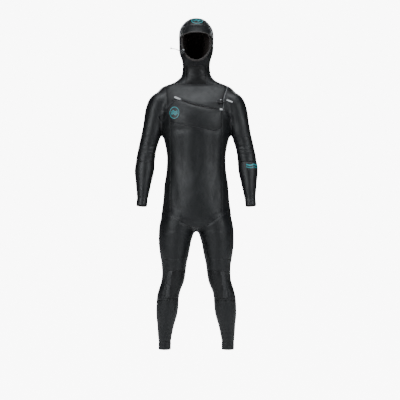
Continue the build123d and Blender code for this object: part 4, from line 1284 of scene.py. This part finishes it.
# %% Cords and knots
def cord_curve(name, points, diameter, finish):
    data = bpy.data.curves.new(name, "CURVE")
    data.dimensions = "3D"
    spline = data.splines.new("NURBS")
    spline.points.add(len(points) - 1)
    for point, place in zip(spline.points, points):
        point.co = (*place, 1)
    spline.order_u = 3
    spline.use_endpoint_u = True
    spline.resolution_u = 16
    data.bevel_depth = diameter / 2
    data.bevel_resolution = 3
    data.use_fill_caps = True
    data.materials.append(finish)
    return collect(bpy.data.objects.new(name, data))


def knot(name, centre, way, finish, turn=0.0030, cord=0.0016, around=18, sides=8):
    """Three turns of the cord round each other; turn and cord are their radii."""
    way = Vector(way).normalized()
    points, faces = [], []
    for spin in (0.0, 2.1, 4.2):
        axis = way.copy()
        aside = way.orthogonal().normalized()
        axis.rotate(Matrix.Rotation(spin, 3, way) @ Matrix.Rotation(0.77, 3, aside)
                    @ Matrix.Rotation(-spin, 3, way))
        u = axis.orthogonal().normalized()
        v = axis.cross(u)
        start = len(points)
        for i in range(around):
            a = 2 * math.pi * i / around
            mid = u * math.cos(a) + v * math.sin(a)
            for j in range(sides):
                b = 2 * math.pi * j / sides
                points.append(Vector(centre) + mid * (turn + cord * math.cos(b)) + axis * cord * math.sin(b))
        faces += grid_faces(around, sides, True, True, start)
    mesh = new_mesh(name, points, faces, closed=True)
    mesh.materials.append(finish)
    return collect(bpy.data.objects.new(name, mesh))


hood_from, hood_bend, hood_to = np.array([(-60, -86.3913, 895), (-102.023, -86.3913, 913.71),
                                          (-121.719, -86.3913, 917.183)]) / 1000
run_way = (hood_bend - hood_from) / np.linalg.norm(hood_bend - hood_from)
tail_way = (hood_to - hood_bend) / np.linalg.norm(hood_to - hood_bend)
HOOD_ROUTE = np.array([hood_from, hood_from + run_way * 0.018, hood_from + run_way * 0.037, hood_bend,
                       hood_bend + tail_way * 0.009, hood_to])
SHOULDER_ROUTE = np.array([(134.047, -85.8978, 645.969), (106.067, -96.0821, 649.626)]) / 1000
shoulder_spread = np.cross((-0.932679, -0.339478, 0.121918), (0, 0.337996, 0.941147))
CORD = 0.003               # thickness of one strand
for label, route, strand_length, spread_way, finish, cord_slot in (
        ("hood", HOOD_ROUTE, 0.0659, np.array([0, 1, 0]), cord_pale, "cord_grey"),
        ("shoulder", SHOULDER_ROUTE, 0.0300, shoulder_spread, cord_black, "cord_dark")):
    way = route[-1] - route[-2]
    way /= np.linalg.norm(way)
    tied = knot(label + "_knot", route[-1] + way * 0.0044, way, finish)
    give(tied, "suit")
    for n, s in enumerate((-1, 1)):
        shifted = route + spread_way * 0.002 * s
        strand = cord_curve("%s_strand_%d" % (label, n + 1), shifted, CORD, finish)
        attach(strand, "suit")
        if n == 0:
            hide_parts(label + "_cord")
    print(label, "cord, two strands of %.1f mm" % (strand_length * 1000))

# %% [markdown]
# The slider, puller, locks and buttons are hard mouldings, so the design's own shape is the
# right one and only needs its plastic. The springs inside the locks are copied as pieces of
# their own in spring steel and put on their lock.

# %% Moulded parts keep the design's own shape
for name, finish, moulded_slot in (
        ("zip_slider", dark_hard, "dark_plastic"), ("zip_puller", pale_hard, "light_plastic"),
        ("zip_ends", dark_hard, "dark_plastic"), ("cord_exits", dark_hard, "dark_plastic"),
        ("hood_lock", dark_hard, "dark_plastic"), ("hood_lock_button", pale_hard, "light_plastic"),
        ("shoulder_lock", dark_hard, "dark_plastic"), ("shoulder_lock_button", pale_hard, "light_plastic")):
    obj = frame["nodes"][name]
    obj.data.materials.clear()
    obj.data.materials.append(finish)
    for poly in obj.data.polygons:
        poly.material_index = 0
for label in ("hood", "shoulder"):
    coil_data = frame["nodes"][label + "_lock_spring"].data.copy()
    coil_data.materials.clear()
    coil_data.materials.append(steel)
    coil = collect(bpy.data.objects.new(label + "_coil", coil_data))
    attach(coil, label + "_lock")
    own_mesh(coil)
    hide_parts(label + "_lock_spring")
print("moulded parts finished")

# %% [markdown]
# The suit stands alone on a pale floor in soft studio light: a big soft light on each side
# draws a long highlight down the ribs and limbs, and one above catches the shoulders.

# %% Light, floor and camera
def camera_sees(tree, bright, share, plain, end):
    """The camera sees this share of a bright shader, and light in the scene meets only the plain one."""
    ray = add_node(tree, "ShaderNodeLightPath").outputs["Is Camera Ray"]
    part = add_node(tree, "ShaderNodeMath", [(0, ray), (1, share)], operation="MULTIPLY")
    both = add_node(tree, "ShaderNodeMixShader", [(0, part.outputs[0]), (1, plain.outputs[0]),
                                                  (2, bright.outputs[0])])
    tree.links.new(both.outputs[0], tree.nodes[end].inputs["Surface"])


floor = collect(bpy.data.objects.new("floor", new_mesh(
    "floor", [(-40, -40, -CROTCH), (40, -40, -CROTCH), (40, 40, -CROTCH), (-40, 40, -CROTCH)], [(0, 1, 2, 3)])))
floor_finish = bpy.data.materials.new("floor")
floor_finish.use_nodes = True
paint = floor_finish.node_tree.nodes["Principled BSDF"]
paint.inputs["Base Color"].default_value = (0.86, 0.86, 0.86, 1)
paint.inputs["Roughness"].default_value = 0.8
glow = add_node(floor_finish.node_tree, "ShaderNodeEmission", [("Strength", 10.0)])
camera_sees(floor_finish.node_tree, glow, 0.9, paint, "Material Output")
floor.data.materials.append(floor_finish)
sky = bpy.data.worlds.new("studio")
sky.use_nodes = True
dim = sky.node_tree.nodes["Background"]
dim.inputs["Color"].default_value = (1, 1, 1, 1)
dim.inputs["Strength"].default_value = 0.035
white = add_node(sky.node_tree, "ShaderNodeBackground", [("Color", (1, 1, 1, 1)), ("Strength", 9.0)])
camera_sees(sky.node_tree, white, 1.0, dim, "World Output")
bpy.context.scene.world = sky


def soft_light(name, place, target, size, power):
    data = bpy.data.lights.new(name, "AREA")
    data.shape = "RECTANGLE"
    data.size, data.size_y = size
    data.energy = power
    data.color = (0.93, 0.97, 1.0)
    lamp = collect(bpy.data.objects.new(name, data))
    lamp.location = place
    lamp.rotation_euler = (Vector(target) - Vector(place)).to_track_quat("-Z", "Y").to_euler()
    return lamp


soft_light("left light", (-2.4, -2.9, 1.2), (0, 0, 0.3), (0.9, 2.2), 110)
soft_light("right light", (2.6, -2.5, 1.1), (0, 0, 0.3), (0.9, 2.4), 80)
soft_light("top light", (0.0, -1.0, 3.0), (0, 0, 0.5), (2.6, 1.6), 100)
soft_light("back light", (0.0, 2.8, 1.8), (0, 0, 0.3), (2.4, 1.6), 90)
camera_data = bpy.data.cameras.new("camera")
camera_data.lens = 88
camera_data.sensor_width = 36
camera = collect(bpy.data.objects.new("camera", camera_data))
camera.location = (0.019, -5.0, 0.258)
camera.rotation_euler = (Vector((0.019, 0, 0.156)) - camera.location).to_track_quat("-Z", "Y").to_euler()
bpy.context.scene.camera = camera
